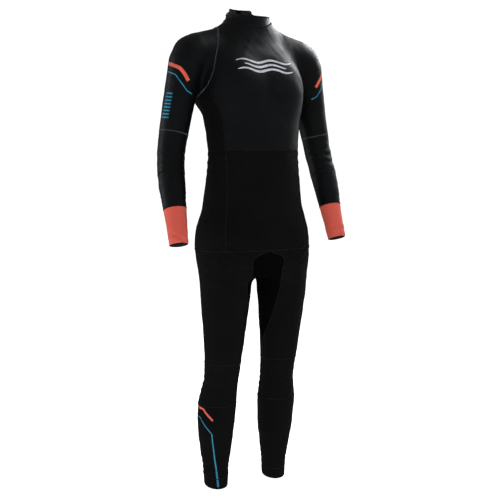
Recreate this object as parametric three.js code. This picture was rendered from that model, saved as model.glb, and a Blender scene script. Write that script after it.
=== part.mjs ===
// Full-length back-zip neoprene wetsuit, filled out as if worn.
// Millimetres, +Z up, front faces -Y, the wearer's left is +X.
// Every panel is a thin closed shell cut from one smooth body shape.
import * as THREE from 'three';

// ---- driving dimensions ----
const WALL = 4;                // neoprene panel thickness
const COLLAR_WALL = 3;         // thinner collar neoprene
const SEAM = 0.2;              // each panel edge stands back this far from its seam line
const CARRY_Z = 1340;          // height of the shoulder carry point above the hems
const WAIST_Z = 1020;          // front waist seam
const BACK_SEAM_Z = 930;       // seam under the back zip
const HIP_Z = 734;             // seam between trunk and leg panels
const GUSSET_TIP_Z = 450;      // lowest point of the crotch gusset on each thigh
const KNEE_Z = 330;            // knee bend line
const KNEE_HALF = 65;          // half height of the knee panel
const ELBOW_HALF = 59;         // half length of the elbow panel
const HEM_SLOPE = 0.2;         // ankle hems are this much lower at the front
const HEM_BAND = 40;           // height of the ankle hem band
const CHANNEL = 8;             // half width of the slot the zip lies in
const ZIP_TOP_Z = 1392;        // top end of the zip chain
const ZIP_FOOT_Z = 942;        // bottom end of the zip chain
const SLIDER_Z = 1362;         // slider height when closed
const SLIDER_DROP = 76;        // height it loses on the straight run it can be drawn down

// trunk stations: height, half width, depth front, depth back, centre y
const TRUNK = [
  [640, 140, 90, 78, -18],
  [700, 166, 104, 88, -18],
  [760, 169, 108, 92, -17],
  [820, 162, 107, 90, -15],
  [890, 151, 105, 85, -15],
  [960, 142, 105, 84, -18],
  [1020, 138, 105, 86, -18],
  [1100, 145, 109, 96, -12],
  [1180, 156, 112, 102, -2],
  [1240, 158, 105, 100, 4],
  [1290, 146, 88, 88, 10],
  [1330, 110, 70, 72, 13],
  [1365, 78, 62, 66, 14],
  [1400, 66, 60, 65, 15],
  [1450, 64, 61, 64, 14],
  [1500, 64, 61, 64, 12],
];
// sleeve centre line: x, y, z, radius
const ARM = [
  [120, 14, 1302, 50],
  [182, 14, 1287, 55],
  [206, 17, 1215, 48.5],
  [223, 20, 1130, 44.5],
  [246, 13, 1010, 40],
  [255, -17, 920, 38],
  [257, -48, 835, 31],
  [260, -80, 745, 26.5],
];
// leg centre line: x, y, z, radius
const LEG = [
  [86, -22, 770, 84],
  [92, -26, 690, 80],
  [94, -25, 600, 74],
  [94, -18, 500, 64],
  [94, -8, 410, 56],
  [95, 6, 330, 51.5],
  [101, 20, 260, 58],
  [102, 30, 160, 53],
  [100, 34, 60, 39],
  [99, 34, -30, 36],
];
const SHOULDER_LINE = [[20, 20, 1366, 37], [85, 16, 1346, 33], [140, 14, 1323, 35], [185, 14, 1302, 35]];

// ---- small vector helpers ----
const add = (a, b, k = 1) => [a[0] + b[0] * k, a[1] + b[1] * k, a[2] + b[2] * k];
const sub = (a, b) => [a[0] - b[0], a[1] - b[1], a[2] - b[2]];
const dot = (a, b) => a[0] * b[0] + a[1] * b[1] + a[2] * b[2];
const unit = (a) => { const l = Math.hypot(...a) || 1; return [a[0] / l, a[1] / l, a[2] / l]; };
const mix = (a, b, t) => a.map((v, i) => v + (b[i] - v) * t);
const mirror = (s) => ({ p: [-s.p[0], s.p[1], s.p[2]], n: [-s.n[0], s.n[1], s.n[2]] });
const ease = (t) => t * t * (3 - 2 * t);

// smooth curve through rows keyed by their first value
function curve(rows) {
  const x = rows.map((r) => r[0]);
  const n = rows.length;
  const slope = rows.map((r, i) => {
    const a = Math.max(i - 1, 0);
    const b = Math.min(i + 1, n - 1);
    return rows[b].slice(1).map((v, k) => (v - rows[a][k + 1]) / (x[b] - x[a]));
  });
  return (t) => {
    const u = Math.min(Math.max(t, x[0]), x[n - 1]);
    let i = 0;
    while (i < n - 2 && u > x[i + 1]) i += 1;
    const h = x[i + 1] - x[i];
    const s = (u - x[i]) / h;
    return rows[i].slice(1).map((v, k) => (
      (2 * s ** 3 - 3 * s ** 2 + 1) * v + (s ** 3 - 2 * s ** 2 + s) * h * slope[i][k]
      + (3 * s ** 2 - 2 * s ** 3) * rows[i + 1][k + 1] + (s ** 3 - s ** 2) * h * slope[i + 1][k]));
  };
}
const trunkAt = curve(TRUNK);
const byIndex = (rows) => curve(rows.map((r, i) => [i, ...r]));
const byHeight = (rows) => curve(rows.map((r) => [r[2], r[0], r[1], r[3]]).sort((a, b) => a[0] - b[0]));
const armAt = byHeight(ARM.slice(1));
const legAt = byHeight(LEG);
function dense(rows, per) {
  const at = byIndex(rows);
  return Array.from({ length: (rows.length - 1) * per + 1 }, (_, i) => at(i / per));
}
const ARM_CHAIN = dense(ARM, 3);
const LEG_CHAIN = dense(LEG, 2);

// ---- body shape: negative inside ----
function chain(p, rows) {
  let best = 1e9;
  for (let i = 1; i < rows.length; i += 1) {
    const a = rows[i - 1];
    const b = rows[i];
    const ab = sub(b, a);
    const t = Math.min(1, Math.max(0, dot(sub(p, a), ab) / dot(ab, ab)));
    const d = Math.hypot(p[0] - a[0] - ab[0] * t, p[1] - a[1] - ab[1] * t, p[2] - a[2] - ab[2] * t);
    best = Math.min(best, d - a[3] - (b[3] - a[3]) * t);
  }
  return best;
}
function blend(a, b, k) {
  const h = Math.min(1, Math.max(0, 0.5 + (0.5 * (b - a)) / k));
  return b * (1 - h) + a * h - k * h * (1 - h);
}
function swell(p, c, r) {
  const q = [(p[0] - c[0]) / r[0], (p[1] - c[1]) / r[1], (p[2] - c[2]) / r[2]];
  const n = Math.hypot(...q);
  return (n * (n - 1)) / (Math.hypot(q[0] / r[0], q[1] / r[1], q[2] / r[2]) + 1e-9);
}
function trunk(p) {
  const [w, f, b, yc] = trunkAt(p[2]);
  const y = p[1] - yc;
  const d = y < 0 ? f : b;
  const e = 2.25;
  const qx = Math.abs(p[0]) / w;
  const qy = Math.abs(y) / d;
  const q = (qx ** e + qy ** e) ** (1 / e) + 1e-9;
  const g = Math.hypot(qx ** (e - 1) / w, qy ** (e - 1) / d) * q ** (1 - e) + 1e-9;
  return Math.max((q - 1) / g, 655 - p[2]);
}
function body(q) {
  const p = [Math.abs(q[0]), q[1], q[2]];
  let d = trunk(p);
  if (p[2] > 1000) {
    d = blend(d, swell(p, [66, -62, 1192], [66, 44, 88]), 34);
    d = blend(d, swell(p, [84, 62, 1225], [78, 44, 95]), 46);
    d = blend(d, chain(p, SHOULDER_LINE), 34);
  }
  if (p[2] < 950) {
    d = blend(d, swell(p, [72, 32, 748], [78, 62, 84]), 44);
    d = blend(d, blend(chain(p, LEG_CHAIN), chain([-p[0], p[1], p[2]], LEG_CHAIN), 16), 30);
  }
  if (p[2] > 700) d = blend(d, chain(p, ARM_CHAIN), 18);
  return d;
}
function normalAt(p) {
  const h = 0.5;
  return unit([0, 1, 2].map((k) => {
    const a = [...p];
    const b = [...p];
    a[k] += h;
    b[k] -= h;
    return body(a) - body(b);
  }));
}
// first way out of the body from o along d
function cast(o, d, far = 420) {
  const step = 4;
  let t = 0;
  while (t < far && body(add(o, d, t + step)) < 0) t += step;
  let lo = t;
  let hi = t + step;
  for (let i = 0; i < 16; i += 1) {
    const m = (lo + hi) / 2;
    if (body(add(o, d, m)) < 0) lo = m;
    else hi = m;
  }
  const p = add(o, d, (lo + hi) / 2);
  return { p, n: normalAt(p) };
}
// nearest surface point to a guess
function settle(guess) {
  let p = guess;
  for (let i = 0; i < 12; i += 1) p = add(p, normalAt(p), -body(p) * 0.9);
  return { p, n: normalAt(p) };
}

// ---- closed shells ----
const DEG = Math.PI / 180;
const group = new THREE.Group();
group.name = 'wetsuit';

const finish = (color, roughness, metalness = 0) => new THREE.MeshStandardMaterial({ color, roughness, metalness });
const SMOOTH_BLACK = finish(0x1b1c1e, 0.45);
const MATTE_BLACK = finish(0x111214, 0.8);
const GUSSET_BLACK = finish(0x0b0b0c, 0.9);
const ORANGE = finish(0xcc5246, 0.6);
const TAPE = finish(0x161616, 0.9);
const COIL = finish(0x2a2b2d, 0.45);
const METAL = finish(0x8d9095, 0.35, 1);
const LOOP = finish(0x202124, 1);

function place(name, positions, faces, material) {
  let volume = 0;
  for (const [a, b, c] of faces) {
    const [p, q, r] = [positions[a], positions[b], positions[c]];
    volume += p[0] * (q[1] * r[2] - q[2] * r[1]) + p[1] * (q[2] * r[0] - q[0] * r[2])
      + p[2] * (q[0] * r[1] - q[1] * r[0]);
  }
  const index = faces.flatMap(([a, b, c]) => (volume > 0 ? [a, b, c] : [a, c, b]));
  const geometry = new THREE.BufferGeometry();
  const flat = positions.flatMap((p) => [p[0], p[1], p[2] - CARRY_Z]);
  geometry.setAttribute('position', new THREE.Float32BufferAttribute(flat, 3));
  geometry.setIndex(index);
  geometry.computeVertexNormals();
  const mesh = new THREE.Mesh(geometry, material);
  mesh.name = name;
  group.add(mesh);
}

const seamKey = (s) => s.p[2] + 0.37 * s.p[1] + 0.11 * Math.abs(s.p[0]);
// rows of surface samples become one closed shell between two offsets from the surface
function shell(name, rows, material, { wrap = false, outer = 0, inner = -WALL, pull = SEAM } = {}) {
  const R = rows.length;
  const C = rows[0].length;
  const positions = [];
  for (const offset of [outer, inner]) {
    const at = rows.map((row) => row.map((s) => add(s.p, s.n, offset)));
    for (let r = 0; r < R; r += 1) {
      for (let c = 0; c < C; c += 1) {
        let p = at[r][c];
        const shift = (q) => { p = add(p, unit(sub(q, at[r][c])), pull); };
        if (r === 0) shift(at[1][c]);
        if (r === R - 1) shift(at[R - 2][c]);
        if (!wrap && c === 0) shift(at[r][1]);
        if (!wrap && c === C - 1) shift(at[r][C - 2]);
        positions.push(p);
      }
    }
  }
  const id = (side, r, c) => side * R * C + r * C + (c % C);
  const faces = [];
  const quad = (a, b, c, d) => faces.push([a, b, c], [a, c, d]);
  const columns = wrap ? C : C - 1;
  for (let r = 0; r < R - 1; r += 1) {
    for (let c = 0; c < columns; c += 1) {
      quad(id(0, r, c), id(0, r, c + 1), id(0, r + 1, c + 1), id(0, r + 1, c));
      quad(id(1, r, c), id(1, r + 1, c), id(1, r + 1, c + 1), id(1, r, c + 1));
    }
  }
  // edge walls split the same way on both panels that share a seam
  const wall = (r0, c0, r1, c1) => {
    const [a, b, c, d] = [id(0, r0, c0), id(0, r1, c1), id(1, r1, c1), id(1, r0, c0)];
    if (seamKey(rows[r0][c0 % C]) < seamKey(rows[r1][c1 % C])) quad(a, b, c, d);
    else quad(b, c, d, a);
  };
  for (let c = 0; c < columns; c += 1) {
    wall(0, c + 1, 0, c);
    wall(R - 1, c, R - 1, c + 1);
  }
  if (!wrap) {
    for (let r = 0; r < R - 1; r += 1) {
      wall(r, 0, r + 1, 0);
      wall(r + 1, C - 1, r, C - 1);
    }
  }
  place(name, positions, faces, material);
}
// the same panel for both sides of the wearer
function pair(name, rows, material, options) {
  shell(`${name}_left`, rows, material, options);
  shell(`${name}_right`, rows.map((row) => row.map(mirror)), material, options);
}

// ---- raglan seam: a slanted plane through the armpit and the shoulder top ----
const ARMPIT_LINE = { x: 166, z: 1158 };
const RAGLAN_TOP = { x: 104, z: 1372 };
const RAGLAN_ROWS = 8;
const slantX = (z) => ARMPIT_LINE.x + ((RAGLAN_TOP.x - ARMPIT_LINE.x) * (z - ARMPIT_LINE.z))
  / (RAGLAN_TOP.z - ARMPIT_LINE.z);
const raglanUp = unit([RAGLAN_TOP.x - ARMPIT_LINE.x, 0, RAGLAN_TOP.z - ARMPIT_LINE.z]);
const raglanMid = [slantX(1262), 14, 1262];
const armpit = cast(raglanMid, raglanUp.map((v) => -v));
const raglanTop = cast(raglanMid, raglanUp);
const raglanZ = (k) => armpit.p[2]
  + (raglanTop.p[2] - armpit.p[2]) * (0.5 - 0.5 * Math.cos((Math.PI * k) / RAGLAN_ROWS));
function raglanPoint(k, side) {
  if (k === 0) return armpit;
  if (k === RAGLAN_ROWS) return raglanTop;
  const z = raglanZ(k);
  return cast([slantX(z), 14, z], [0, side, 0]);
}

// ---- trunk rows, listed upward ----
const LOW_Z = [HIP_Z, 770, 808, 847, 888, BACK_SEAM_Z, 975, WAIST_Z, 1065, 1110];
const NECK_ROWS = 3;
const NECK_SIDE_Z = 1398;
const NECK_FRONT_DROP = 25;    // the collar seam dips this far at the throat
const NECK_BACK_DROP = 13;     // and this far at the nape
const neckDrop = (side, z) => ((side < 0 ? NECK_FRONT_DROP : NECK_BACK_DROP)
  * Math.max(0, z - armpit.p[2])) / (NECK_SIDE_Z - armpit.p[2]);
const FRONT_EDGE = curve([[700, 34], [900, 32], [1020, 28], [1110, 27]]);  // side panel edge angles
const BACK_EDGE = curve([[700, 40], [900, 38], [1020, 36], [1110, 34]]);
const SIDE_ROWS = 2;           // the side panel climbs the raglan seam this many rows
const rowCount = LOW_Z.length + RAGLAN_ROWS + 1 + NECK_ROWS;

// seam point between the side panel and the front (-1) or back (1) panels, or the raglan seam
function rowEnd(row, side) {
  const low = LOW_Z.length;
  if (row < low) {
    const z = LOW_Z[row];
    const a = side < 0 ? FRONT_EDGE(z)[0] : BACK_EDGE(z)[0];
    return cast([0, trunkAt(z)[3], z], [Math.cos(a * DEG), side * Math.sin(a * DEG), 0]);
  }
  const k = row - low;
  if (k < SIDE_ROWS) {
    const lower = rowEnd(low - 1, side);
    const upper = raglanPoint(SIDE_ROWS, side);
    const t = (raglanZ(k) - lower.p[2]) / (upper.p[2] - lower.p[2]);
    return settle(mix(lower.p, upper.p, t));
  }
  if (k <= RAGLAN_ROWS) return raglanPoint(k, side);
  const z = raglanTop.p[2] + ((NECK_SIDE_Z - raglanTop.p[2]) * (k - RAGLAN_ROWS)) / NECK_ROWS;
  return cast([0, 12, z], [1, 0, 0]);
}
// one point of a trunk row, share 0 at the middle line and 1 at the row end
function rowPoint(row, side, share, start = 0) {
  const end = rowEnd(row, side);
  if (share === 1) return end;
  const k = row - LOW_Z.length - RAGLAN_ROWS;
  const middle = 14;
  const z = end.p[2];
  const yc = row < LOW_Z.length ? trunkAt(z)[3] : middle;
  const full = Math.atan2(end.p[0], side * (end.p[1] - yc));
  const drop = neckDrop(side, z);
  const begin = start ? Math.atan2(start, 100) : 0;
  const a = begin + (full - begin) * share;
  const lowered = z - drop * Math.cos((a / full) * (Math.PI / 2)) ** 2;
  if (start && share === 0) return cast([start, yc, lowered], [0, side, 0]);
  return cast([0, yc, lowered], [Math.sin(a), side * Math.cos(a), 0]);
}
const HALF = 8;                // columns from the middle line to the panel edge
const halfRow = (row, side, start) => Array.from({ length: HALF + 1 }, (_, i) => rowPoint(row, side, i / HALF, start));
function fullRow(row, side) {
  const half = halfRow(row, side);
  return [...half.slice(1).reverse().map(mirror), ...half];
}
const rowsFrom = (a, b) => Array.from({ length: b - a + 1 }, (_, i) => a + i);
const waistRow = LOW_Z.indexOf(WAIST_Z);
const backRow = LOW_Z.indexOf(BACK_SEAM_Z);
const lastRow = rowCount - 1;

shell('chest_panel', rowsFrom(waistRow, lastRow).map((r) => fullRow(r, -1)), SMOOTH_BLACK);
shell('abdomen_panel', rowsFrom(0, waistRow).map((r) => fullRow(r, -1)), MATTE_BLACK);
shell('seat_panel', rowsFrom(0, backRow).map((r) => fullRow(r, 1)), MATTE_BLACK);
const backRows = rowsFrom(backRow, lastRow).map((r) => halfRow(r, 1, CHANNEL));
pair('back_panel', backRows, SMOOTH_BLACK);

// side panel: armpit at the top, hip seam at the bottom
const SIDE_COLUMNS = 2 * SIDE_ROWS;
function sideRow(row) {
  const a = rowEnd(row, -1);
  const b = rowEnd(row, 1);
  const z = LOW_Z[row];
  const yc = trunkAt(z)[3];
  const from = Math.atan2(a.p[1] - yc, a.p[0]);
  const to = Math.atan2(b.p[1] - yc, b.p[0]);
  return Array.from({ length: SIDE_COLUMNS + 1 }, (_, i) => {
    if (i === 0) return a;
    if (i === SIDE_COLUMNS) return b;
    const t = from + ((to - from) * i) / SIDE_COLUMNS;
    return cast([0, yc, z], [Math.cos(t), Math.sin(t), 0]);
  });
}
const underarm = [raglanPoint(2, -1), raglanPoint(1, -1), armpit, raglanPoint(1, 1), raglanPoint(2, 1)];
const topSideRow = sideRow(LOW_Z.length - 1);
const climb = rowsFrom(1, SIDE_ROWS).map((k) => underarm.map((s, i) => {
  const row = LOW_Z.length + k - 1;
  if (i === 0) return rowEnd(row, -1);
  if (i === SIDE_COLUMNS) return rowEnd(row, 1);
  return settle(mix(topSideRow[i].p, s.p, k / (SIDE_ROWS + 1)));
}));
pair('side_panel', [...rowsFrom(0, LOW_Z.length - 1).map(sideRow), ...climb, underarm], MATTE_BLACK);

// ---- sleeves ----
const AROUND = 2 * RAGLAN_ROWS;
const seamLoop = [
  armpit,
  ...rowsFrom(1, RAGLAN_ROWS - 1).map((k) => raglanPoint(k, -1)),
  raglanTop,
  ...rowsFrom(1, RAGLAN_ROWS - 1).reverse().map((k) => raglanPoint(k, 1)),
];
const loopAngle = seamLoop.map((s, i) => {
  const d = sub(s.p, raglanMid);
  const a = Math.atan2(-d[1], -dot(d, raglanUp));
  return i > 0 && a <= 0 ? a + 2 * Math.PI : a;
});
const FAN = 8;                 // rings that swing from the raglan seam to square across the arm
const pivot = add(armpit.p, raglanUp, -38);
const fanStart = Math.atan2(raglanUp[2], raglanUp[0]);
const fanEnd = 8 * DEG;
const startReach = dot(sub(raglanMid, pivot), raglanUp);
function ringPoints(centre, up, front, angles) {
  return angles.map((a) => cast(centre, unit(add(up.map((v) => -v * Math.cos(a)), front, Math.sin(a)))));
}
function fanRing(j) {
  if (j === 0) return seamLoop;
  const t = j / FAN;
  const a = fanStart + (fanEnd - fanStart) * ease(t) ** 0.9;
  const up = [Math.cos(a), 0, Math.sin(a)];
  const arm = armAt(pivot[2])[0] - pivot[0];
  const reach = startReach + (arm - startReach) * ease(t);
  const y = 14 + 9 * t;
  const centre = add([pivot[0], y, pivot[2]], up, reach);
  const angles = loopAngle.map((v, i) => v + ((2 * Math.PI * i) / AROUND - v) * ease(t));
  return ringPoints(centre, up, [0, -1, 0], angles);
}
const evenAngles = Array.from({ length: AROUND }, (_, i) => (2 * Math.PI * i) / AROUND);
function armFrame(z) {
  const [x, y] = armAt(z);
  const [x1, y1] = armAt(z - 6);
  const [x0, y0] = armAt(z + 6);
  const axis = unit([x1 - x0, y1 - y0, -12]);
  const out = unit(add([1, 0, 0], axis, -axis[0]));
  const front = [
    out[1] * axis[2] - out[2] * axis[1],
    out[2] * axis[0] - out[0] * axis[2],
    out[0] * axis[1] - out[1] * axis[0],
  ];
  const sign = front[1] > 0 ? -1 : 1;
  return { centre: [x, y, z], out, front: front.map((v) => v * sign) };
}
function armRing(z) {
  const f = armFrame(z);
  return ringPoints(f.centre, f.out, f.front, evenAngles);
}
const ELBOW_Z = 1010;
const ABOVE_ELBOW = ELBOW_Z + ELBOW_HALF;
const BELOW_ELBOW = ELBOW_Z - ELBOW_HALF;
const CUFF_TOP = 855;
const CUFF_END = 757;
const steps = (a, b, n) => Array.from({ length: n + 1 }, (_, i) => a + ((b - a) * i) / n);
const sleeveRings = [...rowsFrom(0, FAN).map(fanRing), armRing(ABOVE_ELBOW)];
pair('raglan_sleeve', sleeveRings, SMOOTH_BLACK, { wrap: true });
pair('elbow_panel', steps(ABOVE_ELBOW, BELOW_ELBOW, 4).map(armRing), SMOOTH_BLACK, { wrap: true });
pair('forearm_panel', steps(BELOW_ELBOW, CUFF_TOP, 3).map(armRing), SMOOTH_BLACK, { wrap: true });
pair('cuff', steps(CUFF_TOP, CUFF_END, 3).map(armRing), ORANGE, { wrap: true });

// ---- legs ----
const LEG_COLUMNS = 2 * HALF + SIDE_COLUMNS;
const GUSSET_Z = [HIP_Z, 706, 670, 624, 574, 525, 484, GUSSET_TIP_Z];
const GUSSET_EDGE = [null, 67, 63, 59, 49, 36, 20, 3];       // degrees from the inner thigh
const THIGH_LOW = KNEE_Z + KNEE_HALF;
const legCentre = (z) => [legAt(z)[0], legAt(z)[1], z];
function gussetEdge(k, side) {
  if (k === 0) return rowPoint(0, side, 0);
  const a = k === GUSSET_Z.length - 1 ? GUSSET_EDGE[k] : GUSSET_EDGE[k] * -side;
  return cast(legCentre(GUSSET_Z[k]), [-Math.cos(a * DEG), -Math.sin(a * DEG), 0]);
}
const hipRow = [
  ...halfRow(0, -1),
  ...sideRow(0).slice(1, -1),
  ...halfRow(0, 1).reverse(),
];
const around = (s, c) => {
  const a = Math.atan2(-(s.p[1] - c[1]), -(s.p[0] - c[0]));
  return a < -1e-6 ? a + 2 * Math.PI : a;
};
function thighRow(k) {
  if (k === 0) return hipRow;
  const z = GUSSET_Z[k];
  const c = legCentre(z);
  const a = gussetEdge(k, -1);
  const b = gussetEdge(k, 1);
  const last = k === GUSSET_Z.length - 1;
  const from = around(a, c);
  const to = last ? from + 2 * Math.PI : around(b, c);
  const hipAngles = hipRow.map((s) => around(s, legCentre(HIP_Z)));
  const t = ease(Math.min(1, k / 4));
  return hipRow.map((_, i) => {
    if (i === 0) return a;
    if (i === LEG_COLUMNS) return last ? a : b;
    const even = from + ((to - from) * i) / LEG_COLUMNS;
    const share = (hipAngles[i] - hipAngles[0]) / (hipAngles[LEG_COLUMNS] - hipAngles[0]);
    const angle = from + (to - from) * share + (even - from - (to - from) * share) * t;
    return cast(c, [-Math.cos(angle), -Math.sin(angle), 0]);
  });
}
function legRow(z, lean = 0) {
  const c = legCentre(z);
  return Array.from({ length: LEG_COLUMNS + 1 }, (_, i) => {
    const a = 3 * DEG + (2 * Math.PI * (i % LEG_COLUMNS)) / LEG_COLUMNS;
    return cast(c, unit([-Math.cos(a), -Math.sin(a), -lean * Math.sin(a)]));
  });
}
const thighRows = [...rowsFrom(0, GUSSET_Z.length - 1).map(thighRow), legRow(422), legRow(THIGH_LOW)];
pair('thigh_panel', thighRows, MATTE_BLACK);
const ring = (z, lean) => legRow(z, lean).slice(0, LEG_COLUMNS);
pair('knee_panel', steps(THIGH_LOW, KNEE_Z - KNEE_HALF, 4).map((z) => ring(z)), MATTE_BLACK, { wrap: true });
const HEM_TOP = HEM_BAND;
const shankZ = steps(KNEE_Z - KNEE_HALF, HEM_TOP, 5);
const shank = shankZ.map((z, i) => legRow(z, (HEM_SLOPE * i) / 5));
pair('shin_panel', shank.map((row) => row.slice(0, LEG_COLUMNS / 2 + 1)), MATTE_BLACK);
pair('calf_panel', shank.map((row) => row.slice(LEG_COLUMNS / 2)), MATTE_BLACK);
const hem = steps(HEM_TOP, 7, 1).map((z) => ring(z, HEM_SLOPE));
pair('ankle_hem', hem, MATTE_BLACK, { wrap: true });

// crotch gusset: one diamond from the front point over both inner thighs to the back point
const EDGE_STEPS = GUSSET_Z.length - 1;
const frontEdge = rowsFrom(0, EDGE_STEPS).map((k) => gussetEdge(k, -1));
const backEdge = rowsFrom(0, EDGE_STEPS).map((k) => gussetEdge(k, 1));
backEdge[EDGE_STEPS] = frontEdge[EDGE_STEPS];
const gusset = rowsFrom(0, EDGE_STEPS).map((i) => rowsFrom(0, EDGE_STEPS).map((j) => {
  const left = frontEdge[i];
  const right = mirror(frontEdge[j]);
  const backRight = mirror(backEdge[EDGE_STEPS - i]);
  const backLeft = backEdge[EDGE_STEPS - j];
  if (j === 0) return left;
  if (i === 0) return right;
  if (j === EDGE_STEPS) return backRight;
  if (i === EDGE_STEPS) return backLeft;
  const s = i / EDGE_STEPS;
  const t = j / EDGE_STEPS;
  const corner = mix(
    mix(frontEdge[0].p, frontEdge[EDGE_STEPS].p, s),
    mix(mirror(frontEdge[EDGE_STEPS]).p, backEdge[0].p, s),
    t,
  );
  const across = mix(left.p, backRight.p, t);
  const along = mix(right.p, backLeft.p, s);
  return settle(add(add(across, along), corner, -1));
}));
for (let pass = 0; pass < 40; pass += 1) {
  for (let i = 1; i < EDGE_STEPS; i += 1) {
    for (let j = 1; j < EDGE_STEPS; j += 1) {
      const across = mix(gusset[i - 1][j].p, gusset[i + 1][j].p, 0.5);
      gusset[i][j] = settle(mix(across, mix(gusset[i][j - 1].p, gusset[i][j + 1].p, 0.5), 0.5));
    }
  }
}
shell('crotch_gusset', gusset, GUSSET_BLACK);

// ---- collar: open at the back over the zip ----
const RIM = { front: 1405, side: 1411, back: 1442 };
const neckRow = [
  ...halfRow(lastRow, 1, CHANNEL).map(mirror),
  ...fullRow(lastRow, -1).slice(1),
  ...halfRow(lastRow, 1, CHANNEL).reverse().slice(1),
];
function collarPoint(s, t) {
  const a = Math.atan2(s.p[0], -(s.p[1] - 4));
  const c = Math.cos(a);
  const rim = c > 0 ? RIM.side + (RIM.front - RIM.side) * c * c : RIM.side + (RIM.back - RIM.side) * c * c;
  const z = s.p[2] + (rim - s.p[2]) * t;
  const [w, f, b, yc] = trunkAt(z);
  const y = s.p[1] - 4;
  const slot = c < 0 && Math.abs(s.p[0]) < CHANNEL + 0.5;
  const scale = 1 / Math.hypot(s.p[0] / w, y / (y < 0 ? f : b));
  const x = slot ? s.p[0] : s.p[0] * scale;
  const target = [x, slot ? yc + b : yc + y * scale, z];
  const p = mix(s.p, target, Math.min(1, t * 1.6));
  const flat = unit([x / (w * w), (target[1] - yc) / (b * b), 0]);
  return { p, n: unit(mix(s.n, flat, Math.min(1, t * 1.6))) };
}
const collarRows = steps(0, 1, 3).map((t) => neckRow.map((s) => (t === 0 ? s : collarPoint(s, t))));
shell('collar', collarRows, SMOOTH_BLACK, { inner: -COLLAR_WALL, pull: 0.5 });

// ---- back zip: tapes, coils, stops, slider, puller and the flap behind it ----
const spine = (x, z) => cast([x, 12, z], [0, 1, 0]);
const backHeight = (z) => z - neckDrop(1, z);
const zipLevels = [
  ZIP_FOOT_Z, 975, WAIST_Z, 1065, 1110,
  ...rowsFrom(0, RAGLAN_ROWS).map((k) => backHeight(raglanZ(k))),
  ZIP_TOP_Z,
];
const strip = (columns, levels) => levels.map((z) => columns.map((x) => spine(x, z)));
pair('zip_tape', strip([2.4, 9, 16], zipLevels), TAPE, { outer: -5.1, inner: -6.1 });
pair('zip_coil', strip([0.3, 1.8, 3.4], zipLevels), COIL, { outer: -2.7, inner: -4.9, pull: 0 });
shell('zip_backing_flap', strip([-24, -12, 0, 12, 24], zipLevels), MATTE_BLACK, { outer: -6.9, inner: -8.9 });
function block(name, z, half, columns, outer, inner, material) {
  shell(name, strip(columns, [z - half, z + half]), material, { outer, inner, pull: 0 });
}
block('zip_bottom_stop', ZIP_FOOT_Z - 3.5, 2.5, [-4, 0, 4], -2.7, -4.9, METAL);
const stop = strip([0.6, 3.8], [ZIP_TOP_Z + 1, ZIP_TOP_Z + 5]);
pair('zip_top_stop', stop, METAL, { outer: -2.7, inner: -4.9, pull: 0 });

// slider and puller lie along the straight run of the zip between its closed and lowered places
const closed = spine(0, SLIDER_Z);
const lowered = spine(0, SLIDER_Z - SLIDER_DROP);
const down = unit(sub(lowered.p, closed.p));
const away = [0, -down[2], down[1]];
function slab(name, top, bottom, half, inner, outer, material, bevel = 0) {
  const rows = steps(top, bottom, 2).map((t, i) => {
    const w = half - (i === 1 ? 0 : bevel);
    return [-w, 0, w].map((x) => ({ p: add(add(closed.p, down, t), [1, 0, 0], x), n: away }));
  });
  shell(name, rows, material, { outer, inner, pull: 0 });
}
slab('zip_slider', -7, 7, 5, -1, 2.1, METAL, 1.2);
slab('zip_puller', -1, 31, 4, 2.8, 4.3, METAL, 1);

// collar closure: a flap rooted on the wearer's right laps over the zip to a loop pad on the left
const FLAP_LOW = 1397;
const FLAP_HIGH = 1434;
const napeColumns = neckRow.map((s, c) => c).filter((c) => neckRow[c].p[1] > 15);
function collarFace(x, z) {
  const level = napeColumns.map((c) => {
    const line = collarRows.map((row) => row[c].p);
    let i = 0;
    while (i < line.length - 2 && z > line[i + 1][2]) i += 1;
    return mix(line[i], line[i + 1], (z - line[i][2]) / (line[i + 1][2] - line[i][2]));
  }).sort((a, b) => a[0] - b[0]);
  let i = 0;
  while (i < level.length - 2 && x > level[i + 1][0]) i += 1;
  const q = mix(level[i], level[i + 1], (x - level[i][0]) / (level[i + 1][0] - level[i][0]));
  const n = unit([x / 58 ** 2, (q[1] - 2) / 62 ** 2, 0]);
  return { p: [x, q[1], z], n };
}
const patch = (xs, zs) => zs.map((z) => xs.map((x) => collarFace(x, z)));
const flapZ = [FLAP_LOW, 1409, 1422, FLAP_HIGH];
shell('collar_flap_base', patch([-30, -24, -18.4], flapZ), SMOOTH_BLACK, { outer: 4.8, inner: 0.5 });
shell('collar_flap', patch([-17, -8, 2, 12, 22, 32, 39], flapZ), SMOOTH_BLACK, { outer: 4.8, inner: 2.6 });
shell('collar_loop_pad', patch([14, 22, 30, 36], flapZ), LOOP, { outer: 1.9, inner: 0.6, pull: 3 });

export default group;
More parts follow.
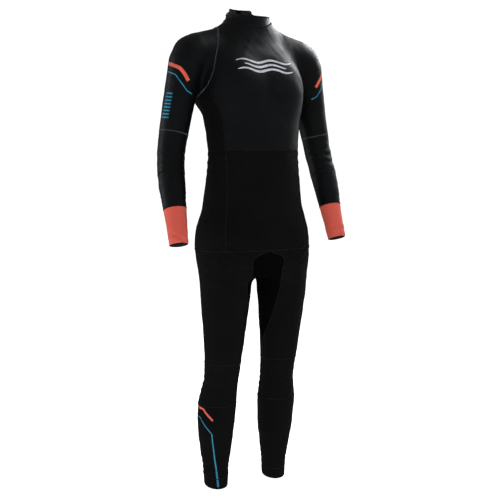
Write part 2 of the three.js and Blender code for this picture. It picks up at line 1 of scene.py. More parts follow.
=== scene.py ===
import bpy
import math
import numpy as np
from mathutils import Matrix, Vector

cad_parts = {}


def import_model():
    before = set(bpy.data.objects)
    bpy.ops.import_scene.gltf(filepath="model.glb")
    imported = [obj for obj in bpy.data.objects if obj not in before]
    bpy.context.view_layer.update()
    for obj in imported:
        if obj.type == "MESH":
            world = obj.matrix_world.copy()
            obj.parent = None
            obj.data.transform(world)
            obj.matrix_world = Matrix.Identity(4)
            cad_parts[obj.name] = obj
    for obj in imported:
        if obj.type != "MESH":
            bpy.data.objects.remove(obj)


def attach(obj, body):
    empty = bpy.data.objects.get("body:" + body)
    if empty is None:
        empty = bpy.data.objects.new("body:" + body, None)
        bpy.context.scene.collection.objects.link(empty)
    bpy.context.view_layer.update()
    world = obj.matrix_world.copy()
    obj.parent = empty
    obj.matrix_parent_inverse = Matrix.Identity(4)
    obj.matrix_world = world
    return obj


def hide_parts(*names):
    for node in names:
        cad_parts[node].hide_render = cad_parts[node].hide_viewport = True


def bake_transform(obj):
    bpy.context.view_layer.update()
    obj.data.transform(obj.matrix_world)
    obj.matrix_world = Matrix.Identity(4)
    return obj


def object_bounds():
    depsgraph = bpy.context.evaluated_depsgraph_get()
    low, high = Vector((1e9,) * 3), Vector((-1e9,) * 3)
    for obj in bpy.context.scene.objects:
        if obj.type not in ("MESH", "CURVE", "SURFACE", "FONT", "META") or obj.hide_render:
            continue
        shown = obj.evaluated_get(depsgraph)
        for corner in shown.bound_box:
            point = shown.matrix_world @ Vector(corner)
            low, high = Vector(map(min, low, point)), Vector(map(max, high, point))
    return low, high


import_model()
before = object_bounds()

# ---- body shape
# Same driving dimensions as the part, in millimetres with z counted up from the hems.
CARRY_Z = 1340.0
HIP_Z, WAIST_Z, BACK_SEAM_Z = 734.0, 1020.0, 930.0
GUSSET_TIP_Z = 450.0
KNEE_Z, KNEE_HALF = 330.0, 65.0
ELBOW_Z, ELBOW_HALF = 1010.0, 59.0
CUFF_TOP, CUFF_END = 855.0, 757.0
HEM_SLOPE, HEM_BAND = 0.2, 40.0
CHANNEL = 8.0
TRUNK_END_Z = 655.0
AXIS_Y = 14.0
ZIP_TOP_Z, ZIP_FOOT_Z, SLIDER_Z, SLIDER_DROP = 1392.0, 942.0, 1362.0, 76.0

TRUNK = [
    (640, 140, 90, 78, -18), (700, 166, 104, 88, -18), (760, 169, 108, 92, -17),
    (820, 162, 107, 90, -15), (890, 151, 105, 85, -15), (960, 142, 105, 84, -18),
    (1020, 138, 105, 86, -18), (1100, 145, 109, 96, -12), (1180, 156, 112, 102, -2),
    (1240, 158, 105, 100, 4), (1290, 146, 88, 88, 10), (1330, 110, 70, 72, 13),
    (1365, 78, 62, 66, 14), (1400, 66, 60, 65, 15), (1450, 64, 61, 64, 14),
    (1500, 64, 61, 64, 12),
]
ARM = [
    (120, 14, 1302, 50), (182, 14, 1287, 55), (206, 17, 1215, 48.5), (223, 20, 1130, 44.5),
    (246, 13, 1010, 40), (255, -17, 920, 38), (257, -48, 835, 31), (260, -80, 745, 26.5),
]
LEG = [
    (86, -22, 770, 84), (92, -26, 690, 80), (94, -25, 600, 74), (94, -18, 500, 64),
    (94, -8, 410, 56), (95, 6, 330, 51.5), (101, 20, 260, 58), (102, 30, 160, 53),
    (100, 34, 60, 39), (99, 34, -30, 36),
]
SHOULDER_LINE = [(20, 20, 1366, 37), (85, 16, 1346, 33), (140, 14, 1323, 35), (185, 14, 1302, 35)]


def curve(rows):
    """Smooth curve through rows keyed by their first value."""
    T = np.array(rows, float)
    x, Y = T[:, 0], T[:, 1:]
    n = len(x)
    a, b = np.maximum(np.arange(n) - 1, 0), np.minimum(np.arange(n) + 1, n - 1)
    m = (Y[b] - Y[a]) / (x[b] - x[a])[:, None]

    def at(t):
        u = np.clip(np.asarray(t, float), x[0], x[-1])
        i = np.clip(np.searchsorted(x, u) - 1, 0, n - 2)
        h = (x[i + 1] - x[i])[..., None]
        s = (u - x[i])[..., None] / h
        return ((2 * s**3 - 3 * s**2 + 1) * Y[i] + (s**3 - 2 * s**2 + s) * h * m[i]
                + (3 * s**2 - 2 * s**3) * Y[i + 1] + (s**3 - s**2) * h * m[i + 1])
    return at


def by_height(rows):
    return curve(sorted((r[2], r[0], r[1], r[3]) for r in rows))


def dense(rows, per):
    at = curve([(i, *r) for i, r in enumerate(rows)])
    return at(np.linspace(0, len(rows) - 1, (len(rows) - 1) * per + 1))


trunk_at, arm_at, leg_at = curve(TRUNK), by_height(ARM[1:]), by_height(LEG)
ARM_CHAIN, LEG_CHAIN = dense(ARM, 3), dense(LEG, 2)
SHOULDER_CHAIN = np.array(SHOULDER_LINE, float)


def unit(v):
    v = np.asarray(v, float)
    return v / np.maximum(np.linalg.norm(v, axis=-1, keepdims=True), 1e-12)


def lengths(p):
    """Distance travelled along a line at each of its points."""
    return np.append(0, np.cumsum(np.linalg.norm(np.diff(p, axis=0), axis=1)))


def along(p, s, at):
    """Points of a line whose own points are measured by s."""
    return np.stack([np.interp(at, s, p[:, k]) for k in range(3)], 1)


def mix(a, b, t):
    return np.asarray(a) + (np.asarray(b) - np.asarray(a)) * t


def mirror(g):
    return np.asarray(g) * np.array([-1.0, 1.0, 1.0])


def ease(t):
    t = np.clip(t, 0, 1)
    return t * t * (3 - 2 * t)


def chain(p, rows):
    best = np.full(len(p), 1e9)
    for a, b in zip(rows[:-1], rows[1:]):
        ab = b[:3] - a[:3]
        q = p - a[:3]
        t = np.clip(q @ ab / (ab @ ab), 0, 1)
        q -= t[:, None] * ab
        best = np.minimum(best, np.sqrt((q * q).sum(1)) - a[3] - (b[3] - a[3]) * t)
    return best


def soft(a, b, k):
    h = np.clip(0.5 + 0.5 * (b - a) / k, 0, 1)
    return b * (1 - h) + a * h - k * h * (1 - h)


def swell(p, c, r):
    q = (p - np.array(c, float)) / np.array(r, float)
    n = np.linalg.norm(q, axis=1)
    return n * (n - 1) / (np.linalg.norm(q / np.array(r, float), axis=1) + 1e-9)


def body(points):
    """Signed closeness to the body surface, negative inside."""
    q = np.asarray(points, float)
    p = q.copy()
    p[:, 0] = np.abs(p[:, 0])
    w, f, b, yc = trunk_at(p[:, 2]).T
    y = p[:, 1] - yc
    d = np.where(y < 0, f, b)
    qx, qy = p[:, 0] / w, np.abs(y) / d
    e = 2.25
    s = (qx**e + qy**e) ** (1 / e) + 1e-9
    g = np.hypot(qx ** (e - 1) / w, qy ** (e - 1) / d) * s ** (1 - e) + 1e-9
    out = np.maximum((s - 1) / g, TRUNK_END_Z - p[:, 2])
    m = p[:, 2] > 1000
    if m.any():
        v = p[m]
        o = soft(out[m], swell(v, (66, -62, 1192), (66, 44, 88)), 34)
        o = soft(o, swell(v, (84, 62, 1225), (78, 44, 95)), 46)
        out[m] = soft(o, chain(v, SHOULDER_CHAIN), 34)
    m = p[:, 2] < 950
    if m.any():
        v = p[m]
        o = soft(out[m], swell(v, (72, 32, 748), (78, 62, 84)), 44)
        out[m] = soft(o, soft(chain(v, LEG_CHAIN), chain(mirror(v), LEG_CHAIN), 16), 30)
    m = p[:, 2] > 700
    if m.any():
        out[m] = soft(out[m], chain(p[m], ARM_CHAIN), 18)
    return out


def slope_of(p, h=0.5):
    g = np.empty_like(p)
    for k in range(3):
        e = np.zeros(3)
        e[k] = h
        g[:, k] = body(p + e) - body(p - e)
    return unit(g)


def flat_rows(p):
    p = np.asarray(p, float)
    return p.reshape(-1, 3), p.shape


def settle(guess, steps=12, rate=0.9):
    p, shape = flat_rows(guess)
    p = p.copy()
    for _ in range(steps):
        p -= slope_of(p) * (body(p) * rate)[:, None]
    return p.reshape(shape)


def cast(o, d, far=420.0, step=4.0):
    """First way out of the body from each o along d."""
    o, shape = flat_rows(np.broadcast_arrays(np.asarray(o, float), np.asarray(d, float))[0])
    d = np.broadcast_to(np.asarray(d, float), shape).reshape(-1, 3)
    t = np.zeros(len(o))
    live = np.arange(len(o))
    while len(live):
        inside = body(o[live] + d[live] * (t[live] + step)[:, None]) < 0
        live = live[inside & (t[live] < far)]
        t[live] += step
    lo, hi = t, t + step
    for _ in range(14):
        m = (lo + hi) / 2
        inside = body(o + d * m[:, None]) < 0
        lo, hi = np.where(inside, m, lo), np.where(inside, hi, m)
    return (o + d * ((lo + hi) / 2)[:, None]).reshape(shape)


# ---- seam layout
HALF, RAGLAN_ROWS, NECK_ROWS, SIDE_ROWS = 8, 8, 3, 2
SIDE_COLUMNS, AROUND, LEG_COLUMNS = 2 * SIDE_ROWS, 2 * RAGLAN_ROWS, 2 * HALF + 2 * SIDE_ROWS
LOW_Z = np.array([HIP_Z, 770, 808, 847, 888, BACK_SEAM_Z, 975, WAIST_Z, 1065, 1110])
LOW = len(LOW_Z)
RAGLAN_LOW, RAGLAN_HIGH = (166.0, 1158.0), (104.0, 1372.0)
NECK_SIDE_Z = 1398.0


def slant_x(z):
    (x0, z0), (x1, z1) = RAGLAN_LOW, RAGLAN_HIGH
    return x0 + (x1 - x0) * (z - z0) / (z1 - z0)


raglan_up = unit([RAGLAN_HIGH[0] - RAGLAN_LOW[0], 0, RAGLAN_HIGH[1] - RAGLAN_LOW[1]])
raglan_mid = np.array([slant_x(1262), AXIS_Y, 1262.0])
armpit, raglan_top = cast(np.array([raglan_mid, raglan_mid]), np.array([-raglan_up, raglan_up]))


def raglan_z(k):
    share = 0.5 - 0.5 * np.cos(np.pi * np.asarray(k, float) / RAGLAN_ROWS)
    return armpit[2] + (raglan_top[2] - armpit[2]) * share


def raglan_side(side):
    z = raglan_z(np.arange(1, RAGLAN_ROWS))
    o = np.stack([slant_x(z), np.full_like(z, AXIS_Y), z], 1)
    return np.vstack([armpit, cast(o, np.array([0.0, side, 0.0])), raglan_top])


def neck_drop(side, z):
    return (25.0 if side < 0 else 13.0) * np.maximum(0, z - armpit[2]) / (NECK_SIDE_Z - armpit[2])


front_edge = curve([(700, 34), (900, 32), (1020, 28), (1110, 27)])
back_edge = curve([(700, 40), (900, 38), (1020, 36), (1110, 34)])
raglan = {-1: raglan_side(-1), 1: raglan_side(1)}
rad = np.pi / 180


def row_ends(side):
    a = (front_edge if side < 0 else back_edge)(LOW_Z)[:, 0] * rad
    o = np.stack([0 * LOW_Z, trunk_at(LOW_Z)[:, 3], LOW_Z], 1)
    low = cast(o, np.stack([np.cos(a), side * np.sin(a), 0 * a], 1))
    r = raglan[side]
    t = (raglan_z(np.arange(SIDE_ROWS)) - low[-1, 2]) / (r[SIDE_ROWS, 2] - low[-1, 2])
    climb = settle(mix(low[-1], r[SIDE_ROWS], t[:, None]))
    z = raglan_top[2] + (NECK_SIDE_Z - raglan_top[2]) * np.arange(1, NECK_ROWS + 1) / NECK_ROWS
    neck = cast(np.stack([0 * z, 0 * z + 12, z], 1), np.array([1.0, 0, 0]))
    return np.vstack([low, climb, r[SIDE_ROWS:], neck])


ends = {-1: row_ends(-1), 1: row_ends(1)}


def half_rows(side, start=0.0):
    e = ends[side]
    yc = np.concatenate([trunk_at(LOW_Z)[:, 3], np.full(len(e) - LOW, AXIS_Y)])
    full = np.arctan2(e[:, 0], side * (e[:, 1] - yc))[:, None]
    begin = math.atan2(start, 100) if start else 0.0
    share = np.arange(HALF + 1)[None] / HALF
    a = begin + (full - begin) * share
    z = e[:, 2:3] - neck_drop(side, e[:, 2:3]) * np.cos(a / full * np.pi / 2) ** 2
    o = np.stack([0 * a, np.broadcast_to(yc[:, None], a.shape), z], -1)
    d = np.stack([np.sin(a), side * np.cos(a), 0 * a], -1)
    if start:
        o[:, 0, 0] = start
        d[:, 0] = (0, side, 0)
    g = cast(o, d)
    g[:, -1] = e
    return g


front_half, back_half, back_slot = half_rows(-1), half_rows(1), half_rows(1, CHANNEL)


def full_rows(h):
    return np.concatenate([mirror(h[:, 1:][:, ::-1]), h], 1)


WAIST_ROW, BACK_ROW = 7, 5
GRID = {
    "chest_panel": full_rows(front_half[WAIST_ROW:]),
    "abdomen_panel": full_rows(front_half[: WAIST_ROW + 1]),
    "seat_panel": full_rows(back_half[: BACK_ROW + 1]),
    "back_panel": back_slot[BACK_ROW:],
}


def side_rows():
    a, b = ends[-1][:LOW], ends[1][:LOW]
    yc = trunk_at(LOW_Z)[:, 3]
    f, t = np.arctan2(a[:, 1] - yc, a[:, 0]), np.arctan2(b[:, 1] - yc, b[:, 0])
    ang = f[:, None] + (t - f)[:, None] * np.arange(SIDE_COLUMNS + 1) / SIDE_COLUMNS
    o = np.stack(np.broadcast_arrays(0 * ang, yc[:, None], LOW_Z[:, None]), -1)
    g = cast(o, np.stack([np.cos(ang), np.sin(ang), 0 * ang], -1))
    g[:, 0], g[:, -1] = a, b
    f, t = raglan[-1], raglan[1]
    underarm = np.array([f[2], f[1], armpit, t[1], t[2]])
    climb = []
    for k in range(1, SIDE_ROWS + 1):
        row = settle(mix(g[-1], underarm, k / (SIDE_ROWS + 1)))
        row[0], row[-1] = ends[-1][LOW + k - 1], ends[1][LOW + k - 1]
        climb.append(row)
    return g, np.concatenate([g, climb, underarm[None]])


low_side, GRID["side_panel"] = side_rows()

# sleeves: rings swing from the slanted raglan seam to square across the arm
seam_loop = np.vstack([armpit, raglan[-1][1:-1], raglan_top, raglan[1][1:-1][::-1]])
rel = seam_loop - raglan_mid
loop_angle = np.arctan2(-rel[:, 1], -(rel @ raglan_up))
loop_angle[1:] = np.where(loop_angle[1:] <= 0, loop_angle[1:] + 2 * np.pi, loop_angle[1:])
even_angle = 2 * np.pi * np.arange(AROUND) / AROUND
FAN = 8
pivot = armpit - raglan_up * 38


def ring_points(centre, up, front, angles):
    d = -np.cos(angles)[:, None] * np.asarray(up) + np.sin(angles)[:, None] * np.asarray(front)
    return cast(np.broadcast_to(centre, d.shape), unit(d))


def fan_ring(j):
    if j == 0:
        return seam_loop
    t = j / FAN
    start = math.atan2(raglan_up[2], raglan_up[0])
    a = start + (8 * rad - start) * ease(t) ** 0.9
    up = np.array([math.cos(a), 0, math.sin(a)])
    reach = (raglan_mid - pivot) @ raglan_up
    reach += (arm_at(pivot[2])[0] - pivot[0] - reach) * ease(t)
    centre = np.array([pivot[0], AXIS_Y + 9 * t, pivot[2]]) + up * reach
    return ring_points(centre, up, (0, -1, 0), loop_angle + (even_angle - loop_angle) * ease(t))


def arm_frame(z):
    c = arm_at(z)
    axis = unit(np.append(arm_at(z - 6)[:2] - arm_at(z + 6)[:2], -12))
    out = unit(np.array([1.0, 0, 0]) - axis * axis[0])
    front = np.cross(out, axis)
    front *= -1 if front[1] > 0 else 1
    return np.array([c[0], c[1], z]), out, front


def arm_ring(z):
    return ring_points(*arm_frame(z), even_angle)


UP_Z, DOWN_Z = ELBOW_Z + ELBOW_HALF, ELBOW_Z - ELBOW_HALF
GRID["raglan_sleeve"] = np.array([fan_ring(j) for j in range(FAN + 1)] + [arm_ring(UP_Z)])
GRID["elbow_panel"] = np.array([arm_ring(z) for z in np.linspace(UP_Z, DOWN_Z, 5)])
GRID["forearm_panel"] = np.array([arm_ring(z) for z in np.linspace(DOWN_Z, CUFF_TOP, 4)])
GRID["cuff"] = np.array([arm_ring(z) for z in np.linspace(CUFF_TOP, CUFF_END, 4)])

# legs
GUSSET_Z = [HIP_Z, 706, 670, 624, 574, 525, 484, GUSSET_TIP_Z]
GUSSET_EDGE = [None, 67, 63, 59, 49, 36, 20, 3]
LAST = len(GUSSET_Z) - 1
THIGH_LOW = KNEE_Z + KNEE_HALF


def leg_centre(z):
    c = leg_at(z)
    return np.array([c[0], c[1], z])


def gusset_edge(side):
    pts = [(front_half if side < 0 else back_half)[0, 0]]
    for k in range(1, LAST + 1):
        a = (GUSSET_EDGE[k] if k == LAST else -side * GUSSET_EDGE[k]) * rad
        pts.append(cast(leg_centre(GUSSET_Z[k])[None], np.array([[-math.cos(a), -math.sin(a), 0]]))[0])
    return np.array(pts)


edge_front, edge_back = gusset_edge(-1), gusset_edge(1)
edge_back[LAST] = edge_front[LAST]
hip_row = np.vstack([front_half[0], low_side[0, 1:-1], back_half[0][::-1]])


def around(s, c):
    a = np.arctan2(-(s[..., 1] - c[1]), -(s[..., 0] - c[0]))
    return np.where(a < -1e-6, a + 2 * np.pi, a)


def thigh_row(k):
    if k == 0:
        return hip_row
    c = leg_centre(GUSSET_Z[k])
    a, b = edge_front[k], edge_back[k]
    start = around(a, c)
    stop = start + 2 * np.pi if k == LAST else around(b, c)
    hip = around(hip_row, leg_centre(HIP_Z))
    share = (hip - hip[0]) / (hip[-1] - hip[0])
    even = np.arange(LEG_COLUMNS + 1) / LEG_COLUMNS
    ang = start + (stop - start) * mix(share, even, ease(min(1, k / 4)))
    row = cast(np.broadcast_to(c, (len(ang), 3)), np.stack([-np.cos(ang), -np.sin(ang), 0 * ang], 1))
    row[0], row[-1] = a, (a if k == LAST else b)
    return row


def leg_row(z, lean=0.0):
    a = 3 * rad + 2 * np.pi * (np.arange(LEG_COLUMNS + 1) % LEG_COLUMNS) / LEG_COLUMNS
    d = unit(np.stack([-np.cos(a), -np.sin(a), -lean * np.sin(a)], 1))
    return cast(np.broadcast_to(leg_centre(z), d.shape), d)


GRID["thigh_panel"] = np.array([thigh_row(k) for k in range(LAST + 1)] + [leg_row(422), leg_row(THIGH_LOW)])
GRID["knee_panel"] = np.array([leg_row(z)[:-1] for z in np.linspace(THIGH_LOW, KNEE_Z - KNEE_HALF, 5)])
SHANK_Z = np.linspace(KNEE_Z - KNEE_HALF, HEM_BAND, 6)
shank = np.array([leg_row(z, HEM_SLOPE * i / 5) for i, z in enumerate(SHANK_Z)])
GRID["shin_panel"], GRID["calf_panel"] = shank[:, : LEG_COLUMNS // 2 + 1], shank[:, LEG_COLUMNS // 2:]
GRID["ankle_hem"] = np.array([leg_row(z, HEM_SLOPE)[:-1] for z in (HEM_BAND, 24, 7)])


def gusset_grid():
    s = np.arange(LAST + 1) / LAST
    g = np.zeros((LAST + 1, LAST + 1, 3))
    g[:, 0], g[0, :] = edge_front, mirror(edge_front)
    g[:, LAST], g[LAST, :] = mirror(edge_back[::-1]), edge_back[::-1]
    across = mix(g[:, :1], g[:, -1:], s[None, :, None])
    along = mix(g[:1], g[-1:], s[:, None, None])
    left, right = mix(g[0, 0], g[-1, 0], s[:, None]), mix(g[0, -1], g[-1, -1], s[:, None])
    corner = mix(left[:, None], right[:, None], s[None, :, None])
    g[1:-1, 1:-1] = settle((across + along - corner)[1:-1, 1:-1])
    for _ in range(40):
        m = (g[:-2, 1:-1] + g[2:, 1:-1] + g[1:-1, :-2] + g[1:-1, 2:]) / 4
        g[1:-1, 1:-1] = settle(m, 3)
    return g


GRID["crotch_gusset"] = gusset_grid()

# collar, open at the back over the zip
RIM = dict(front=1405.0, side=1411.0, back=1442.0)
neck_row = np.vstack([mirror(back_slot[-1]), full_rows(front_half[-1:])[0][1:], back_slot[-1][::-1][1:]])


def collar_row(t):
    if t == 0:
        return neck_row
    s = neck_row
    y = s[:, 1] - 4
    a = np.arctan2(s[:, 0], -y)
    c = np.cos(a)
    rim = RIM["side"] + np.where(c > 0, RIM["front"] - RIM["side"], RIM["back"] - RIM["side"]) * c * c
    z = s[:, 2] + (rim - s[:, 2]) * t
    w, f, b, yc = trunk_at(z).T
    scale = 1 / np.hypot(s[:, 0] / w, y / np.where(y < 0, f, b))
    slot = (c < 0) & (np.abs(s[:, 0]) < CHANNEL + 0.5)
    x = np.where(slot, s[:, 0], s[:, 0] * scale)
    target = np.stack([x, np.where(slot, yc + b, yc + y * scale), z], 1)
    return mix(s, target, min(1, t * 1.6))


GRID["collar"] = np.array([collar_row(t) for t in np.linspace(0, 1, 5)])

# ---- fine surfaces
def finer(g, f, wrap=False):
    """Smooth subdivision of the first axis, f steps per interval, also where rows are unevenly spaced."""
    if wrap:
        a = np.concatenate([g[-1:], g, g[:2]])
    else:
        a = np.concatenate([2 * g[:1] - g[1:2], g, 2 * g[-1:] - g[-2:-1]])
    step = np.diff(a, axis=0)
    h = np.linalg.norm(step, axis=-1, keepdims=True) + 1e-6
    speed = (step[:-1] / h[:-1] * h[1:] + step[1:] / h[1:] * h[:-1]) / (h[:-1] + h[1:])
    out = []
    for i in range(len(a) - 3):
        p1, p2 = a[i + 1], a[i + 2]
        m1, m2 = speed[i] * h[i + 1], speed[i + 1] * h[i + 1]
        for t in np.arange(f) / f:
            out.append((2 * t**3 - 3 * t * t + 1) * p1 + (t**3 - 2 * t * t + t) * m1
                       + (3 * t * t - 2 * t**3) * p2 + (t**3 - t * t) * m2)
    if not wrap:
        out.append(g[-1])
    return np.array(out)


def fine_grid(g, fr, fc, wrap=False):
    a = finer(g, fr)
    return np.swapaxes(finer(np.swapaxes(a, 0, 1), fc, wrap), 0, 1)


def field_normals(p, h=0.6):
    """(value, outward normal) at each point of a flat list."""
    v = body(p)
    g = np.empty_like(p)
    for k in range(3):
        e = np.zeros(3)
        e[k] = h
        g[:, k] = body(p + e) - v
    return v, unit(g)


def ripple(p, seed=0.0):
    """Slow smooth noise about 0 from a few fixed waves."""
    out = np.zeros(len(p))
    for i, (wave, amp) in enumerate(((95, 1.0), (61, 0.7), (38, 0.45), (24, 0.25))):
        a = np.array([math.sin(1.7 * i + seed), math.cos(2.3 * i + seed), math.sin(0.9 * i + 2 + seed)])
        b = np.array([math.cos(3.1 * i + seed), math.sin(1.3 * i + 1 + seed), math.cos(0.7 * i + seed)])
        out += amp * np.sin((p @ unit(a)) / wave * 2 * np.pi + 3 * np.sin((p @ unit(b)) / wave * 3.1))
    return out


def creases(p):
    """How far the fabric stands off the smooth body: soft folds where it gathers."""
    x, y, z = np.abs(p[:, 0]), p[:, 1], p[:, 2]
    out = 0.35 * ripple(p)

    def near(v, middle, reach):
        return np.exp(-(((v - middle) / reach) ** 2))

    def folds(weight, phase, pitch, depth):
        s = np.sin(2 * np.pi * phase / pitch)
        return weight * depth * (s - 0.35 * np.cos(4 * np.pi * phase / pitch))

    sway = 6 * np.sin(p[:, 0] / 17.0 + p[:, 1] / 23.0)
    arm = ease((x - 175) / 30) * ease((1180 - z) / 60)
    pinch = arm * (p[:, 0] > 0) * near(z - 0.5 * (x - 250), 1030, 5.5) * ease((10 - y) / 30)
    out -= 2.6 * pinch
    pit_front = near(x, 172, 34) * near(z, 1172, 58) * near(y, -38, 34)
    pit_back = near(x, 172, 34) * near(z, 1172, 52) * near(y, 58, 34)
    groin = near(z - 0.35 * (x - 60), 700, 36) * near(y, -105, 40) * ease((x - 12) / 40)
    for weight, phase, pitch, depth in (
        (arm * near(z, 1012, 42) * near(y, -22, 26), z + 0.35 * y + sway, 23, 0.8),  # elbow
        (arm * near(z, 880, 26), z + 0.5 * y + 1.4 * sway, 15, 0.5),  # wrist
        (pit_front, 0.8 * z - 0.75 * x + sway, 22, 0.9),
        (pit_back, 0.8 * z - 0.75 * x + sway, 21, 1.1),
        (near(z, 985, 46) * ease((x - 70) / 50) * (x < 180), z + 0.25 * x + sway, 24, 0.9),  # waist
        (groin, z - 0.5 * x + sway, 26, 1.1),
        (near(z, 655, 26) * ease((y - 20) / 40), z - 0.2 * x + sway, 23, 1.3),  # seat
        (near(z, KNEE_Z, 44) * near(y, 58, 30), z + 0.15 * x + sway, 20, 1.5),  # back of the knee
        (near(z, KNEE_Z + 6, 30) * near(y, -44, 24), z + sway, 22, 0.6),  # kneecap
        (near(z, 62, 26), z + 0.4 * y + 1.3 * sway, 16, 0.7),  # ankle
    ):
        out += folds(weight, phase, pitch, depth)
    return out


def surface(p):
    """Body points with folds added, and the body normals there."""
    flat, shape = flat_rows(p)
    flat = flat.copy()
    for _ in range(2):
        v, n = field_normals(flat)
        flat -= n * v[:, None]
    v, n = field_normals(flat)
    flat += n * (creases(flat) - v)[:, None]
    return flat.reshape(shape), n.reshape(shape)


MM = 0.001
SHIFT = np.array([0, 0, -CARRY_Z])


def metres(p):
    return (np.asarray(p, float).reshape(-1, 3) + SHIFT) * MM


def link(ob):
    bpy.context.scene.collection.objects.link(ob)
    return ob


def mesh_object(name, verts, faces, mats, face_mats=None, uv=None, smooth=True, turn=0.0):
    me = bpy.data.meshes.new(name)
    me.from_pydata(metres(verts).tolist(), [], [list(f) for f in faces])
    for m in mats:
        me.materials.append(m)
    if face_mats is not None:
        me.polygons.foreach_set("material_index", np.asarray(face_mats, np.int32))
    if smooth:
        me.polygons.foreach_set("use_smooth", np.ones(len(me.polygons), bool))
    if uv is not None:
        layer = me.uv_layers.new(name="UVMap")
        loops = np.empty(len(me.loops), np.int32)
        me.loops.foreach_get("vertex_index", loops)
        corner = (np.asarray(uv) * MM)[loops]
        if turn:
            around_u = corner[:, 0].reshape(-1, 4)
            trip = around_u.max() + turn * MM
            around_u += np.where(around_u.max(1, keepdims=True) - around_u > trip / 2, trip, 0)
            corner[:, 0] = around_u.ravel()
        layer.data.foreach_set("uv", corner.astype(np.float32).ravel())
    me.validate()
    return link(bpy.data.objects.new(name, me))


def place(ob, ride=None, bend=None, nodes=(), slot=None):
    """Ties a piece to its body, or, for a piece over a joint, only bakes its transform in and leaves it
    untied; and hides the model parts it stands for.
    """
    if bend:
        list(bend[:2])
        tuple(bend[2])
        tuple(bend[3])
        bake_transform(ob)
    else:
        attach(ob, ride)
    if nodes:
        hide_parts(*nodes)
    return ob


def lipped(p, n, o, lip):
    """Adds rows at both ends of a grid that roll its cut edges over into a seam groove."""
    head, tail = unit(p[1] - p[0]), unit(p[-2] - p[-1])
    reach = (0.22, 0.5, 1.4)
    drop = np.array([lip, lip * 0.25, 0])[:, None]
    p = np.concatenate([[p[0] + head * r for r in reach], p[1:-1], [p[-1] + tail * r for r in reach[::-1]]])
    n = np.concatenate([[n[0]] * 3, n[1:-1], [n[-1]] * 3])
    o = np.concatenate([o[:1] - drop, o[1:-1], o[-1:] - drop[::-1]])
    return p, n, o


def shell(p, n, wall, wrap=False, lip=0.9, off=0.0):
    """Closed shell over a fine grid: face at off, rolled edges, lining a wall thickness in."""
    o = np.full(p.shape[:2], float(off))
    if lip:
        p, n, o = lipped(p, n, o, lip)
        if not wrap:
            turned = lipped(*(np.swapaxes(v, 0, 1) for v in (p, n, o)), lip)
            p, n, o = (np.swapaxes(v, 0, 1) for v in turned)
    R, C = p.shape[:2]
    outer, inner = p + n * o[..., None], p + n * (off - wall)
    idx = np.arange(R * C).reshape(R, C)
    ring = np.append(idx, idx[:, :1], 1) if wrap else idx
    quad = np.stack([ring[:-1, :-1], ring[:-1, 1:], ring[1:, 1:], ring[1:, :-1]], -1).reshape(-1, 4)

    def rim(line):
        return np.stack([line[1:], line[:-1], line[:-1] + R * C, line[1:] + R * C], -1)

    rims = [rim(ring[0]), rim(ring[-1][::-1])]
    if not wrap:
        rims += [rim(idx[::-1, 0]), rim(idx[:, -1])]
    rims = np.concatenate(rims)
    faces = np.concatenate([quad, quad[:, ::-1] + R * C, rims])
    a, b, c = (outer[R // 2, C // 2], outer[R // 2, C // 2 + 1], outer[R // 2 + 1, C // 2])
    if np.cross(b - a, c - a) @ n[R // 2, C // 2] < 0:
        faces = faces[:, ::-1]
    kinds = np.repeat([0, 1, 2], [len(quad), len(quad), len(rims)])
    du = np.linalg.norm(np.diff(p, axis=1), axis=-1).mean(0)
    dv = np.linalg.norm(np.diff(p, axis=0), axis=-1).mean(1)
    uv = np.zeros((R, C, 2))
    uv[..., 0], uv[..., 1] = np.append(0, np.cumsum(du)), np.append(0, np.cumsum(dv))[:, None]
    uv = uv.reshape(-1, 2)
    verts = np.concatenate([outer.reshape(-1, 3), inner.reshape(-1, 3)])
    return verts, faces.tolist(), kinds, np.concatenate([uv, uv]), du.mean() if wrap else 0.0


def together(name, parts, mats):
    """One object from several closed shells or tubes."""
    verts, faces, kinds, uvs, turns = zip(*parts)
    starts = np.cumsum([0] + [len(v) for v in verts])
    faces = [[i + s for i in f] for s, fs in zip(starts, faces) for f in fs]
    return mesh_object(name, np.concatenate(verts), faces, mats, np.concatenate(kinds), np.concatenate(uvs),
                       turn=turns[0] if len(parts) == 1 else 0.0)


def panel(name, p, n, wall, mats, **shape):
    return together(name, [shell(p, n, wall, **shape)], mats)


# ---- materials
def tone(r, g, b):
    """Linear colour from the usual 0-255 scale."""
    c = np.array([r, g, b]) / 255
    return tuple(np.where(c < 0.04045, c / 12.92, ((c + 0.055) / 1.055) ** 2.4)) + (1.0,)


